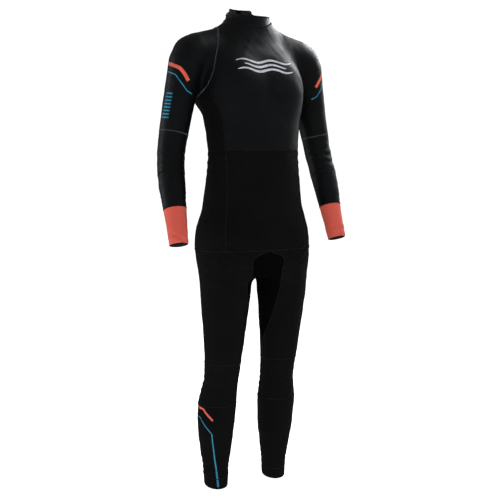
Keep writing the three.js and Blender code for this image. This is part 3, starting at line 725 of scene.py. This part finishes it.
class Look:
    """One Principled material and short calls for its nodes."""

    def __init__(self, name, **fixed):
        self.mat = bpy.data.materials.new(name)
        self.mat.use_nodes = True
        self.tree = self.mat.node_tree
        self.skin = self.tree.nodes["Principled BSDF"]
        for k, v in fixed.items():
            self.skin.inputs[k.replace("_", " ")].default_value = v
        self.coords = self.node("TexCoord")
        self.relief = None

    def node(self, kind, sockets=None, **settings):
        n = self.tree.nodes.new("ShaderNode" + kind)
        for k, v in settings.items():
            setattr(n, k, v)
        for k, v in (sockets or {}).items():
            if isinstance(v, bpy.types.NodeSocket):
                self.tree.links.new(v, n.inputs[k])
            else:
                n.inputs[k].default_value = v
        return n

    def noise(self, scale, detail=4.0, rough=0.55, space="Object", stretch=None):
        where = self.coords.outputs[space]
        if stretch:
            where = self.node("Mapping", {"Vector": where, "Scale": stretch}).outputs[0]
        sockets = {"Vector": where, "Scale": scale, "Detail": detail, "Roughness": rough}
        return self.node("TexNoise", sockets).outputs["Fac"]

    def spread(self, fac, low, high, a=0.3, b=0.7):
        """A value from low to high as fac goes from a to b."""
        return self.node("MapRange", {0: fac, 1: a, 2: b, 3: low, 4: high}).outputs[0]

    def blend(self, fac, a, b, mode="MIX"):
        return self.node("Mix", {0: fac, 6: a, 7: b}, data_type="RGBA", blend_type=mode).outputs[2]

    def wave(self, pitch, axis, wobble=0.0):
        """Ribs every pitch metres across the cloth, from its own UVs."""
        sockets = {"Vector": self.coords.outputs["UV"], "Scale": math.pi / 10 / pitch,
                   "Distortion": wobble, "Detail": 1.0, "Detail Scale": 2.0}
        return self.node("TexWave", sockets, bands_direction=axis).outputs["Fac"]

    def math(self, op, a, b):
        return self.node("Math", {0: a, 1: b}, operation=op).outputs[0]

    def color(self, socket):
        self.tree.links.new(socket, self.skin.inputs["Base Color"])

    def rough(self, socket):
        self.tree.links.new(socket, self.skin.inputs["Roughness"])

    def bump(self, height, depth, strength=1.0):
        """Adds relief of the given depth in metres over what is there."""
        n = self.node("Bump", {"Height": height, "Distance": depth, "Strength": strength})
        if self.relief:
            self.tree.links.new(self.relief, n.inputs["Normal"])
        self.relief = n.outputs[0]
        self.tree.links.new(self.relief, self.skin.inputs["Normal"])
        return self


def knit(name, dark, light, rough=(0.75, 0.9), pitch=0.0009, depth=0.00022, **fixed):
    """Jersey laminate: ribbed stitch columns, crossing rows, faint mottling and pilling."""
    k = Look(name, **fixed)
    ribs = k.math("MULTIPLY", k.wave(pitch, "X", 0.6), k.wave(pitch * 1.35, "Y", 0.6))
    cloudy = k.spread(k.noise(9, 5), 0, 1)
    base = k.blend(cloudy, dark, light)
    fibre = k.spread(k.noise(1400, 2, 0.6), 0, 0.35)
    k.color(k.blend(fibre, base, tuple(min(1, 1.7 * v + 0.002) for v in light[:3]) + (1,)))
    k.rough(k.spread(k.noise(60, 3), *rough))
    return k.bump(ribs, depth).bump(k.noise(2600, 2), 0.00012, 0.6)


def smooth_skin():
    """Closed-cell face: satin, very fine skin texture, handling marks that break the gloss."""
    k = Look("smooth_skin", Specular_IOR_Level=0.2)
    base = k.blend(k.spread(k.noise(7, 5), 0, 1), tone(6, 7, 8), tone(10, 11, 13))
    rub = k.spread(k.noise(42, 6, 0.62), 0, 0.4, 0.52, 0.72)
    k.color(k.blend(rub, base, tone(15, 16, 18)))
    gloss = k.math("ADD", k.spread(k.noise(26, 5, 0.6), 0.42, 0.56), k.spread(k.noise(320, 3), -0.04, 0.05))
    k.rough(gloss)
    cells = k.node("TexVoronoi", {"Vector": k.coords.outputs["Object"], "Scale": 1100.0},
                   feature="DISTANCE_TO_EDGE")
    k.bump(k.spread(cells.outputs[0], 0, 1, 0, 0.25), 0.00006, 0.7)
    return k.bump(k.noise(520, 4), 0.0002, 0.6)


def foam_edge():
    k = Look("foam_edge", Roughness=0.85, Specular_IOR_Level=0.3)
    k.color(k.blend(k.spread(k.noise(900, 3), 0, 1), tone(14, 14, 15), tone(36, 36, 38)))
    return k.bump(k.noise(1800, 2), 0.0002)


def print_ink(name, dark, light, rough=0.5):
    """Screen-printed ink, a little uneven where the cloth shows through."""
    k = Look(name, Specular_IOR_Level=0.4)
    base = k.blend(k.spread(k.noise(120, 4), 0, 1), dark, light)
    worn = k.spread(k.noise(700, 4, 0.7), 0, 0.5, 0.6, 0.85)
    k.color(k.blend(worn, base, tuple(v * 0.35 for v in dark[:3]) + (1,)))
    k.rough(k.spread(k.noise(90, 3), rough - 0.06, rough + 0.12))
    return k.bump(k.noise(1500, 3), 0.00012)


def moulded(name, dark, light, rough, metallic=0.0, grain=700.0):
    k = Look(name, Metallic=metallic)
    k.color(k.blend(k.spread(k.noise(160, 4), 0, 1), dark, light))
    k.rough(k.spread(k.noise(240, 4), rough - 0.08, rough + 0.12))
    return k.bump(k.noise(grain, 3, stretch=(1, 1, 4)), 0.00005)


SMOOTH = smooth_skin().mat
LINED = knit("lined_jersey", tone(7, 7, 7), tone(11, 11, 12), Sheen_Weight=0.004, Sheen_Roughness=0.5,
             Specular_IOR_Level=0.05).mat
GUSSET = knit("gusset_jersey", tone(1, 1, 1), tone(4, 4, 4), rough=(0.9, 1.0), Specular_IOR_Level=0.02).mat
INSIDE = knit("inner_lining", tone(30, 30, 32), tone(44, 44, 47), pitch=0.0012,
              Specular_IOR_Level=0.2).mat
ORANGE = knit("orange_jersey", tone(190, 76, 62), tone(210, 90, 75), rough=(0.68, 0.82), Sheen_Weight=0.05,
              Sheen_Roughness=0.5, Specular_IOR_Level=0.2).mat
WELT = knit("seam_welt", tone(12, 12, 13), tone(22, 22, 24), rough=(0.5, 0.65), pitch=0.0007,
            Specular_IOR_Level=0.15).mat
FINE = dict(pitch=0.0004, depth=0.0001)
THREAD = knit("stitch_thread", tone(13, 13, 14), tone(20, 21, 22), rough=(0.55, 0.7),
              Specular_IOR_Level=0.2, **FINE).mat
THREAD_LIGHT = knit("stitch_thread_light", tone(78, 84, 86), tone(112, 118, 120), rough=(0.5, 0.65),
                    **FINE).mat
TAPE = knit("zip_tape_weave", tone(17, 17, 19), tone(30, 30, 33), rough=(0.6, 0.8), pitch=0.0006).mat
PILE = knit("loop_pile", tone(22, 22, 24), tone(52, 52, 56), rough=(0.9, 1.0), pitch=0.0013,
            depth=0.0008, Sheen_Weight=0.5).mat
EDGE = foam_edge().mat
INK_ORANGE = print_ink("orange_print", tone(196, 76, 58), tone(216, 92, 72)).mat
INK_BLUE = print_ink("blue_print", tone(14, 104, 132), tone(28, 126, 156)).mat
INK_SILVER = print_ink("silver_print", tone(176, 180, 188), tone(214, 217, 222), 0.38).mat
NYLON = moulded("zip_nylon", tone(16, 16, 17), tone(34, 34, 36), 0.35).mat
METAL = moulded("zip_metal", tone(112, 115, 122), tone(150, 153, 160), 0.3, 1.0).mat
SKIN, CLOTH = "smooth_neoprene", "lined_neoprene"
SHELL = {SKIN: SMOOTH, CLOTH: LINED, "gusset_neoprene": GUSSET, "orange_neoprene": ORANGE}

# ---- garment panels
WALL_IN = 3.6
FINENESS = {
    "back_panel": (5, 7), "raglan_sleeve": (6, 6), "elbow_panel": (7, 5), "forearm_panel": (7, 4),
    "cuff": (6, 4), "thigh_panel": (7, 5), "knee_panel": (7, 4), "shin_panel": (9, 5),
    "calf_panel": (9, 5), "ankle_hem": (5, 4), "side_panel": (8, 6), "crotch_gusset": (6, 6),
    "abdomen_panel": (9, 6), "chest_panel": (6, 5), "seat_panel": (8, 6),
}
RINGS = ("raglan_sleeve", "elbow_panel", "forearm_panel", "cuff", "knee_panel", "ankle_hem")
SINGLE = ("chest_panel", "abdomen_panel", "seat_panel", "crotch_gusset")
LEFT_RIGHT = ((1, "left"), (-1, "right"))
SLOTS = dict.fromkeys(("chest_panel", "back_panel", "raglan_sleeve", "elbow_panel", "forearm_panel"), SKIN)
SLOTS.update(cuff="orange_neoprene", crotch_gusset="gusset_neoprene")


def bent(joint, sign):
    """The parent and child bodies and the joint's two end points for a panel over an elbow or a knee."""
    side = dict(LEFT_RIGHT)[sign]
    if joint == "elbow":
        a, b = (arm_frame(z)[0] for z in (UP_Z, DOWN_Z))
        child = "forearm_" + side
    else:
        a, b = (np.append(leg_centre(KNEE_Z)[:2], z) for z in (KNEE_Z + KNEE_HALF, KNEE_Z - KNEE_HALF))
        child = "shank_" + side
    a, b = metres([a, b]) * (sign, 1, 1)
    return "trunk", child, tuple(a), tuple(b)


def body_for(key, side):
    if key in ("forearm_panel", "cuff"):
        return "forearm_" + side
    return "shank_" + side if key in ("shin_panel", "calf_panel", "ankle_hem") else "trunk"


for key, steps in FINENESS.items():
    wrap = key in RINGS
    dense_grid = fine_grid(GRID[key], *steps, wrap)
    paired = key not in SINGLE
    slot = SLOTS.get(key, CLOTH)
    for sign, side in LEFT_RIGHT if paired else ((1, ""),):
        node = key + "_" + side if paired else key
        p, n = surface(dense_grid * (sign, 1, 1))
        ob = panel("suit_" + node, p, n, WALL_IN, (SHELL[slot], INSIDE, EDGE), wrap=wrap)
        joint = {"elbow_panel": "elbow", "knee_panel": "knee"}.get(key)
        place(ob, body_for(key, side), bent(joint, sign) if joint else None, (node,), slot)


# ---- seams
def sweep(p, n, section, closed=False):
    """Closed tube along a line on the cloth; section is (sideways, outward) pairs in mm."""
    if closed:
        t = np.roll(p, -1, 0) - np.roll(p, 1, 0)
    else:
        t = np.gradient(p, axis=0)
    side = unit(np.cross(unit(t), n))
    sec = np.asarray(section, float)
    verts = p[:, None] + side[:, None] * sec[None, :, :1] + n[:, None] * sec[None, :, 1:]
    K, S = verts.shape[:2]
    idx = np.arange(K * S).reshape(K, S)
    rows = np.append(idx, idx[:1], 0) if closed else idx
    a, b = rows[:-1], rows[1:]
    faces = np.stack([a, np.roll(a, -1, 1), np.roll(b, -1, 1), b], -1).reshape(-1, 4)
    corner = verts[0, 0]
    inward = np.cross(verts[0, 1] - corner, verts[1, 0] - corner) @ (corner - verts[0].mean(0)) < 0
    faces = (faces[:, ::-1] if inward else faces).tolist()
    if not closed:
        caps = [idx[0].tolist(), idx[-1][::-1].tolist()]
        faces += caps if inward else [c[::-1] for c in caps]
    uv = np.stack(np.broadcast_arrays(np.linspace(0, 4, S)[None], lengths(p)[:, None]), -1).reshape(-1, 2)
    return verts.reshape(-1, 3), faces, np.zeros(len(faces)), uv, 0.0


def ring_section(r, sides=5):
    a = 2 * np.pi * np.arange(sides) / sides
    return np.stack([r * np.cos(a), r * np.sin(a)], 1)


def even(p, pitch, closed=False):
    """The same line with its points an even pitch apart."""
    q = np.append(p, p[:1], 0) if closed else p
    s = lengths(q)
    count = max(2, int(round(s[-1] / pitch)))
    at = np.linspace(0, s[-1], count + 1)[: count if closed else None]
    return along(q, s, at)


def on_cloth(p):
    q, n = surface(p[None])
    return q[0], n[0]


BEAD = [(-1.3, -0.5), (-1.15, 0.1), (-0.6, 0.38), (0, 0.45), (0.6, 0.38), (1.15, 0.1), (1.3, -0.5), (0, -1.2)]
STITCH_PITCH, STITCH_REACH, STITCH_R = 3.4, 2.4, 0.26


def zigzag(line, closed, reach=STITCH_REACH, lift=0.35):
    """Thread that crosses a seam from side to side."""
    p, n = on_cloth(even(line, STITCH_PITCH / 4, closed))
    t = unit(np.roll(p, -1, 0) - np.roll(p, 1, 0)) if closed else unit(np.gradient(p, axis=0))
    k = np.arange(len(p)) % 4
    swing = np.array([-1.0, 0, 1.0, 0])[k] * reach
    high = np.array([0.05, 0.45, 0.05, 0.45])[k] + lift - 0.3
    side = unit(np.cross(t, n))
    return sweep(p + side * swing[:, None] + n * high[:, None], n, ring_section(STITCH_R, 4))


def seam_line(grid_line, closed=False):
    return finer(grid_line[:, None], 8, closed)[:, 0]


def both(line):
    return [line, mirror(line)]


# each seam is a line of grid points, and whether it closes into a ring
TRUNK_SEAMS = [(GRID["chest_panel"][0], False), (GRID["seat_panel"][-1], False)]
for line, ring in (
    (GRID["side_panel"][:, 0], False),
    (GRID["side_panel"][:, -1], False),
    (GRID["thigh_panel"][0], False),
    (edge_front, False),
    (edge_back, False),
    (GRID["thigh_panel"][LAST:, 0], False),
    (GRID["knee_panel"][0], True),
    (GRID["back_panel"][:, 0], False),
):
    TRUNK_SEAMS += [(q, ring) for q in both(line)]
SLEEVE_SEAMS = [(q, True) for line in (seam_loop, GRID["elbow_panel"][0]) for q in both(line)]
ARM_SEAMS = [(GRID["forearm_panel"][0], True), (GRID["cuff"][0], True)]
LEG_SEAMS = [(GRID["knee_panel"][-1], True), (GRID["shin_panel"][:, 0], False),
             (GRID["shin_panel"][:, -1], False), (GRID["ankle_hem"][0], True)]


def sew(tag, seams, ride, thread=THREAD):
    lines = [(seam_line(q, ring), ring) for q, ring in seams]
    beads = [sweep(*on_cloth(even(q, 3.0, ring)), BEAD, ring) for q, ring in lines]
    place(together("seam_welts_" + tag, beads, (WELT,)), ride, slot=CLOTH)
    stitches = [zigzag(q, ring) for q, ring in lines]
    place(together("seam_stitches_" + tag, stitches, (thread,)), ride, slot=CLOTH)


sew("trunk", TRUNK_SEAMS, "trunk")
sew("sleeves", SLEEVE_SEAMS, "trunk", THREAD_LIGHT)
for sign, side in LEFT_RIGHT:
    sew("forearm_" + side, [(q * (sign, 1, 1), ring) for q, ring in ARM_SEAMS], "forearm_" + side)
    sew("shank_" + side, [(q * (sign, 1, 1), ring) for q, ring in LEG_SEAMS], "shank_" + side)

# ---- prints
def between(pairs, per=10):
    """Evenly spaced values along straight runs between a few (height, angle) pairs."""
    at = np.linspace(0, len(pairs) - 1, (len(pairs) - 1) * per + 1)
    return [np.interp(at, range(len(pairs)), column) for column in np.array(pairs, float).T]


def arm_line(pairs):
    """Points on a sleeve from a few (height, degrees from the inside of the arm) pairs."""
    z, deg = between(pairs)
    level = z.copy()
    for _ in range(3):
        frames = [arm_frame(h) for h in level]
        d = [-math.cos(t) * out + math.sin(t) * front for t, (_, out, front) in zip(deg * rad, frames)]
        p = cast(np.array([c for c, _, _ in frames]), unit(d))
        level += z - p[:, 2]
    return p


def leg_line(pairs):
    """The same on a leg."""
    z, deg = between(pairs)
    a = deg * rad
    return cast(np.array([leg_centre(h) for h in z]), np.stack([-np.cos(a), -np.sin(a), 0 * a], 1))


def chest_line(x, z):
    return cast(np.stack([x, 0 * x + AXIS_Y, z], 1), np.array([0.0, -1.0, 0.0]))


def ribbon(points, width, sign=1, blunt=0.4):
    """A printed stripe: width is one number or one per point, in mm."""
    p = np.array(points) * (sign, 1, 1)
    w = np.broadcast_to(np.asarray(width, float), len(p))
    s = lengths(p)
    at = np.linspace(0, s[-1], max(6, int(s[-1] / 3)))
    p = along(p, s, at)
    w = np.interp(at, s, w) / 2
    end = np.minimum(at, s[-1] - at)
    w = w * np.sqrt(np.clip(end / np.maximum(w, 0.1), blunt, 1))
    p, n = on_cloth(p)
    side = unit(np.cross(unit(np.gradient(p, axis=0)), n))
    cols = np.linspace(-1, 1, 7)
    grid = p[:, None] + side[:, None] * (w[:, None] * cols)[..., None]
    q, n = surface(grid)
    return shell(q, n, 0.45, lip=0, off=0.2)


for sign, side in LEFT_RIGHT:
    chevron = arm_line([(1263, 184), (1261, 171), (1257, 158), (1248, 131), (1234, 114), (1213, 93)])
    ob = together("print_shoulder_stripe_" + side, [ribbon(chevron, 10, sign, 1)], (INK_ORANGE,))
    place(ob, "trunk", slot=SKIN)
    pin = arm_line([(1240, 180), (1238, 170), (1230, 141), (1185, 90), (1177, 69)])
    bars = [ribbon(pin, 3, sign, 1)]
    for k in range(8):
        z, f = 1180 - 9.5 * k, k / 7
        bars.append(ribbon(arm_line([(z, 166 + 12 * f), (z - 2.5, 139 + f)]), 4.4, sign, 1))
    place(together("print_sleeve_bars_" + side, bars, (INK_BLUE,)), "trunk", slot=SKIN)

ankle = leg_line([(258, 204), (256, 159), (223, 125)])
ob = together("print_shin_stripe", [ribbon(ankle, 6.4, -1, 1)], (INK_ORANGE,))
place(ob, "shank_right", slot=CLOTH)
shin = leg_line([(230, 196), (227, 171), (180, 127), (96, 118), (47, 110), (8, 104)])
blue_line = ribbon(shin, np.interp(np.arange(len(shin)), (0, 20, 50), (2.4, 3.6, 6.4)), -1)
place(together("print_shin_line", [blue_line], (INK_BLUE,)), "shank_right", slot=CLOTH)

# three plain waves across the chest, the middle one shorter
WAVE_Z, WAVE_LENGTH, WAVE_GAP, WAVE_SWING = 1258, 88, 13, 4.5
waves = []
for k, reach in enumerate((88, 66, 88)):
    x = np.linspace(-reach, reach, 46)
    z = WAVE_Z + (1 - k) * WAVE_GAP + WAVE_SWING * np.sin(x / WAVE_LENGTH * 2 * np.pi)
    waves.append(ribbon(chest_line(x, z), 7 * np.sqrt(1 - 0.92 * (x / reach) ** 2)))
place(together("print_chest_waves", waves, (INK_SILVER,)), "trunk", slot=SKIN)

# ---- collar and its closure
def slopes(g):
    u, v = np.gradient(g, axis=1), np.gradient(g, axis=0)
    n = unit(np.cross(u, v))
    return n * np.sign((n * (g - g.mean((0, 1)))).sum())


collar_grid = fine_grid(GRID["collar"], 6, 6)
collar_n = slopes(collar_grid)
fade = 1 - ease(np.linspace(0, 1, len(collar_grid)) * 1.5)
foot_n = surface(collar_grid[:1])[1]
collar_n = unit(mix(collar_n, foot_n, fade[:, None, None]))
depth = creases(collar_grid.reshape(-1, 3)).reshape(collar_grid.shape[:2]) * fade[:, None]
collar_grid = collar_grid + collar_n * depth[..., None]
ob = panel("suit_collar", collar_grid, collar_n, 2.7, (SMOOTH, INSIDE, EDGE))
place(ob, "trunk", nodes=("collar",), slot=SKIN)
rim_p, rim_n = collar_grid[-1], collar_n[-1]
binding = [(-2.2, -3.0), (-2.2, 0.35), (-0.4, 0.5), (0.9, 0.1), (1.3, -1.3), (0.9, -2.8), (-0.4, -3.2)]
flip = -1 if np.cross(rim_p[1] - rim_p[0], rim_n[0])[2] < 0 else 1
binding = [(a * flip, b) for a, b in binding]
neck_seam = seam_line(neck_row)
for name, tube, look in (
    ("collar_binding", sweep(rim_p, rim_n, binding), WELT),
    ("collar_seam", sweep(*on_cloth(even(neck_seam, 3.0)), BEAD), WELT),
    ("collar_stitches", zigzag(neck_seam, False), THREAD),
):
    place(together(name, [tube], (look,)), "trunk", slot=SKIN)


def nape(x, z):
    """The collar's outer face behind the neck, and its outward direction."""
    behind = [GRID["collar"][:, c] for c in range(len(neck_row)) if neck_row[c, 1] > 15]
    level = np.array(sorted([np.interp(z, line[:, 2], line[:, k]) for k in (0, 1)] for line in behind))
    y = np.interp(x, level[:, 0], level[:, 1])
    return np.array([x, y, z]), unit([x / 58**2, (y - 2) / 62**2, 0])


def patch(x0, x1, z0, z1, round_end=0.0, step=1.5):
    """Grid on the nape, its last columns drawn in to a rounded end."""
    xs = np.linspace(x0, x1, int(abs(x1 - x0) / step) + 2)
    mid, half = (z0 + z1) / 2, (z1 - z0) / 2
    rows = np.linspace(-1, 1, 15)
    p, n = [], []
    for r in rows:
        line = []
        for x in xs:
            near = np.clip((x - x1 + round_end) / round_end, 0, 1) if round_end else 0
            line.append(nape(x, mid + r * (half - round_end * (1 - math.sqrt(1 - near**2 * 0.96)))))
        p.append([q[0] for q in line])
        n.append([q[1] for q in line])
    return np.array(p), np.array(n)


def patch_outline(x0, x1, z0, z1, off, round_end=6.0):
    p, n = patch(x0, x1, z0, z1, round_end)
    q = p + n * off
    return (np.concatenate([q[0], q[1:, -1], q[-1][-2::-1], q[-2:0:-1, 0]]),
            np.concatenate([n[0], n[1:, -1], n[-1][-2::-1], n[-2:0:-1, 0]]))


FLAP_LOW, FLAP_HIGH = 1393.0, 1443.0
SKINNED, PILED = (SMOOTH, LINED, EDGE), (PILE, PILE, PILE)


def closure(name, x0, x1, inset, round_end, wall, off, lip, mats, ride, nodes=()):
    """One layer of the collar fastening: a patch on the nape standing off its face."""
    p, n = patch(x0, x1, FLAP_LOW + inset, FLAP_HIGH - inset, round_end)
    slot = "loop_fabric" if mats is PILED else SKIN
    place(panel(name, p, n, wall, mats, lip=lip, off=off), ride, nodes=nodes, slot=slot)


def closure_stitches(name, lines, ride, ring):
    rows = [sweep(p, n, ring_section(0.3, 6), ring) for p, n in lines]
    place(together(name, rows, (THREAD,)), ride, slot=SKIN)


closure("closure_flap", -17, 39, 0, 8, 2.1, 4.75, 0.5, SKINNED, "flap", ("collar_flap",))
closure_stitches("closure_flap_stitches", [patch_outline(-14, 36, FLAP_LOW + 3, FLAP_HIGH - 3, 4.85)],
                 "flap", True)
closure("closure_hook_pad", 14, 35, 3, 4, 0.55, 2.62, 0.2, PILED, "flap")
closure("closure_flap_base", -30, -18.4, 0, 0.0, 4.1, 4.75, 0.6, SKINNED, "trunk", ("collar_flap_base",))
base_rows = []
for x in (-27.5, -21):
    line = [nape(x, z) for z in np.linspace(FLAP_LOW + 2, FLAP_HIGH - 2, 24)]
    base_rows.append((np.array([p + n * 4.85 for p, n in line]), np.array([n for _, n in line])))
closure_stitches("closure_base_stitches", base_rows, "trunk", False)
closure("closure_loop_pad", 14, 36, 1, 5, 1.1, 1.85, 0.3, PILED, "trunk", ("collar_loop_pad",))

# ---- back zip
def spine(x, z):
    o = np.stack(np.broadcast_arrays(np.asarray(x, float), 12.0, z), -1)
    return cast(o, np.array([0.0, 1.0, 0.0]))


def strip(xs, z0, z1, rows=46):
    return spine(np.asarray(xs)[None], np.linspace(z0, z1, rows)[:, None])


COIL_X, COIL_PITCH, COIL_STEPS = 1.85, 2.3, 10
for sign, side in LEFT_RIGHT:
    p, n = surface(strip(np.linspace(2.4, 16, 6), ZIP_FOOT_Z, ZIP_TOP_Z) * (sign, 1, 1))
    ob = panel("zip_tape_cloth_" + side, p, n, 0.95, (TAPE, TAPE, TAPE), lip=0.25, off=-5.1)
    place(ob, "trunk", nodes=("zip_tape_" + side,), slot="zip_tape")
    core, n = on_cloth(strip([COIL_X], ZIP_FOOT_Z, ZIP_TOP_Z, 150)[:, 0] * (sign, 1, 1))
    count = COIL_STEPS * int((ZIP_TOP_Z - ZIP_FOOT_Z) / COIL_PITCH)
    at = np.linspace(0, len(core) - 1, count)
    core, n = (along(line, range(len(line)), at) for line in (core, n))
    n = unit(n)
    a = 2 * np.pi * np.arange(count) / COIL_STEPS + (0 if sign > 0 else np.pi)
    radial = np.cos(a)[:, None] * np.array([1.0, 0, 0]) * 1.1 + np.sin(a)[:, None] * n * 0.66
    coil = sweep(core - n * 3.8 + radial, unit(radial), ring_section(0.42))
    ob = together("zip_coil_" + side + "_wound", [coil], (NYLON,))
    place(ob, "trunk", nodes=("zip_coil_" + side,), slot="zip_coil")
    p, n = surface(strip(np.linspace(0.6, 3.8, 4), ZIP_TOP_Z + 1, ZIP_TOP_Z + 5, 5) * (sign, 1, 1))
    ob = panel("zip_top_stop_" + side + "_clamp", p, n, 2.2, (METAL,) * 3, lip=0.3, off=-2.7)
    place(ob, "trunk", nodes=("zip_top_stop_" + side,), slot="metal")

p, n = surface(strip(np.linspace(-24, 24, 13), ZIP_FOOT_Z, ZIP_TOP_Z))
ob = panel("zip_backing", p, n, 1.9, (LINED, INSIDE, EDGE), lip=0.4, off=-6.95)
place(ob, "trunk", nodes=("zip_backing_flap",), slot=CLOTH)
p, n = surface(strip(np.linspace(-4, 4, 6), ZIP_FOOT_Z - 6, ZIP_FOOT_Z - 1, 5))
ob = panel("zip_bottom_stop_clamp", p, n, 2.2, (METAL,) * 3, lip=0.4, off=-2.7)
place(ob, "trunk", nodes=("zip_bottom_stop",), slot="metal")

closed_at, lowered = spine(0, SLIDER_Z), spine(0, SLIDER_Z - SLIDER_DROP)
down = unit(lowered - closed_at)
away = np.array([0, -down[2], down[1]])


def plate(name, outline, low, high, bevel, hole=None):
    """Flat metal part with rounded edges, drawn as (along the zip, across) points."""
    cu = bpy.data.curves.new(name, "CURVE")
    cu.dimensions, cu.fill_mode = "2D", "BOTH"
    for ring in [outline] + ([hole] if hole else []):
        s = cu.splines.new("BEZIER")
        s.bezier_points.add(len(ring) - 1)
        s.use_cyclic_u = True
        s.resolution_u = 6
        for b, (t, x) in zip(s.bezier_points, ring):
            b.co = (t, x, 0)
            b.handle_left_type = b.handle_right_type = "AUTO"
    cu.offset = -bevel
    cu.extrude = (high - low) / 2 - bevel
    cu.bevel_depth, cu.bevel_resolution = bevel, 2
    tmp = link(bpy.data.objects.new(name + "_outline", cu))
    me = bpy.data.meshes.new_from_object(tmp)
    bpy.data.objects.remove(tmp)
    local = np.array([v.co for v in me.vertices])
    local[:, 2] += (low + high) / 2
    faces = [list(f.vertices) for f in me.polygons]
    return mesh_object(name, closed_at + local @ np.array([down, (1.0, 0, 0), away]), faces, (METAL,))


def shaped(t0, t1, *halves):
    """Outline from half widths at even steps from t0 to t1."""
    ts = np.linspace(t0, t1, len(halves))
    right = [(t, w) for t, w in zip(ts, halves)]
    return [(t0 - 0.01, 0)] + right + [(t1 + 0.01, 0)] + [(t, -w) for t, w in right[::-1]]


ob = plate("slider_body", shaped(-7, 7, 2.6, 4.6, 4.9, 4.4, 3.6, 3.2, 2.2), -0.9, 0.9, 0.45)
place(ob, "slider", nodes=("zip_slider",), slot="metal")
arch = ((-5.2, 0.6), (-4.8, 2.6), (-3.4, 4.6), (-1.4, 5.5), (1.0, 5.5), (2.6, 4.6), (3.6, 2.6), (3.9, 0.6))
bridge = finer(np.array([closed_at + down * t + away * w for t, w in arch])[:, None], 5)[:, 0]
side_n = np.broadcast_to(np.array([1.0, 0, 0]), bridge.shape)
strap = [(0.5 * b, 1.2 * a) for a, b in ring_section(1.0, 8)]
place(together("slider_bridge", [sweep(bridge, side_n, strap)], (METAL,)), "slider", slot="metal")
ob = plate("puller_tab", shaped(-1, 31, 2.4, 3.6, 3.9, 3.2, 2.9, 3.3, 3.8, 3.9, 2.6), 2.85, 4.25, 0.4,
           hole=[(0.6, 0), (1.2, 1.7), (4.4, 1.9), (5.4, 0), (4.4, -1.9), (1.2, -1.7)])
place(ob, "puller", nodes=("zip_puller",), slot="metal")

# ---- floor, lights, camera
FLOOR_Z = before[0][2] - 0.004


def floor():
    s = 9.0
    me = bpy.data.meshes.new("floor")
    corners = [(-s, -s, FLOOR_Z), (s, -s, FLOOR_Z), (s, s, FLOOR_Z), (-s, s, FLOOR_Z)]
    me.from_pydata(corners, [], [(0, 1, 2, 3)])
    ob = link(bpy.data.objects.new("floor", me))
    k = Look("floor_white", Roughness=0.95, Specular_IOR_Level=0.1)
    k.color(k.blend(k.noise(3, 3), (0.86, 0.86, 0.86, 1), (0.92, 0.92, 0.92, 1)))
    k.skin.inputs["Emission Color"].default_value = (1, 1, 1, 1)
    k.skin.inputs["Emission Strength"].default_value = 1.0
    me.materials.append(k.mat)
    ob.visible_glossy = False


def lamp(name, spot, target, size, power, tall=None, gloss=True):
    """Area light at spot, aimed at target; tall makes it a strip, gloss lets the suit mirror it."""
    data = bpy.data.lights.new(name, "AREA")
    data.energy = power
    data.color = (0.94, 0.97, 1.0)
    data.size = size
    if tall:
        data.shape = "RECTANGLE"
        data.size_y = tall
    ob = link(bpy.data.objects.new(name, data))
    ob.location = spot
    ob.rotation_euler = (Vector(target) - ob.location).to_track_quat("-Z", "Y").to_euler()
    ob.visible_glossy = gloss


def world():
    """White to the camera, dim to the suit."""
    w = bpy.data.worlds.new("studio")
    bpy.context.scene.world = w
    w.use_nodes = True
    t = w.node_tree
    back = t.nodes["Background"]
    seen = t.nodes.new("ShaderNodeBackground")
    pick = t.nodes.new("ShaderNodeMixShader")
    path = t.nodes.new("ShaderNodeLightPath")
    back.inputs[0].default_value, back.inputs[1].default_value = (1, 1, 1, 1), 0.2
    seen.inputs[0].default_value, seen.inputs[1].default_value = (1, 1, 1, 1), 1.1
    t.links.new(path.outputs["Is Camera Ray"], pick.inputs[0])
    t.links.new(back.outputs[0], pick.inputs[1])
    t.links.new(seen.outputs[0], pick.inputs[2])
    t.links.new(pick.outputs[0], t.nodes["World Output"].inputs[0])


floor()
world()
lamp("top_key", (1.9, -0.3, 2.0), (0.05, 0, 0), 1.0, 26)
lamp("back_key", (2.2, 0.9, 1.2), (0.05, 0, -0.1), 1.2, 64)
lamp("fill", (-2.0, -2.6, 0.4), (0, 0, -0.6), 2.2, 38, gloss=False)
lamp("rim_left", (2.6, 0.9, -0.4), (0, 0, -0.7), 0.6, 6, 2.2)
lamp("rim_right", (-2.4, 1.6, -0.1), (0, 0, -0.5), 0.6, 18, 2.4)

view = bpy.data.cameras.new("view")
view.lens, view.sensor_width = 58.97, 36.0
camera = link(bpy.data.objects.new("camera", view))
camera.location = (-1.112, -2.183, -0.375)
camera.rotation_euler = (math.radians(84.4), 0, math.radians(-27))
bpy.context.scene.camera = camera
bpy.context.scene.view_settings.view_transform = "Standard"
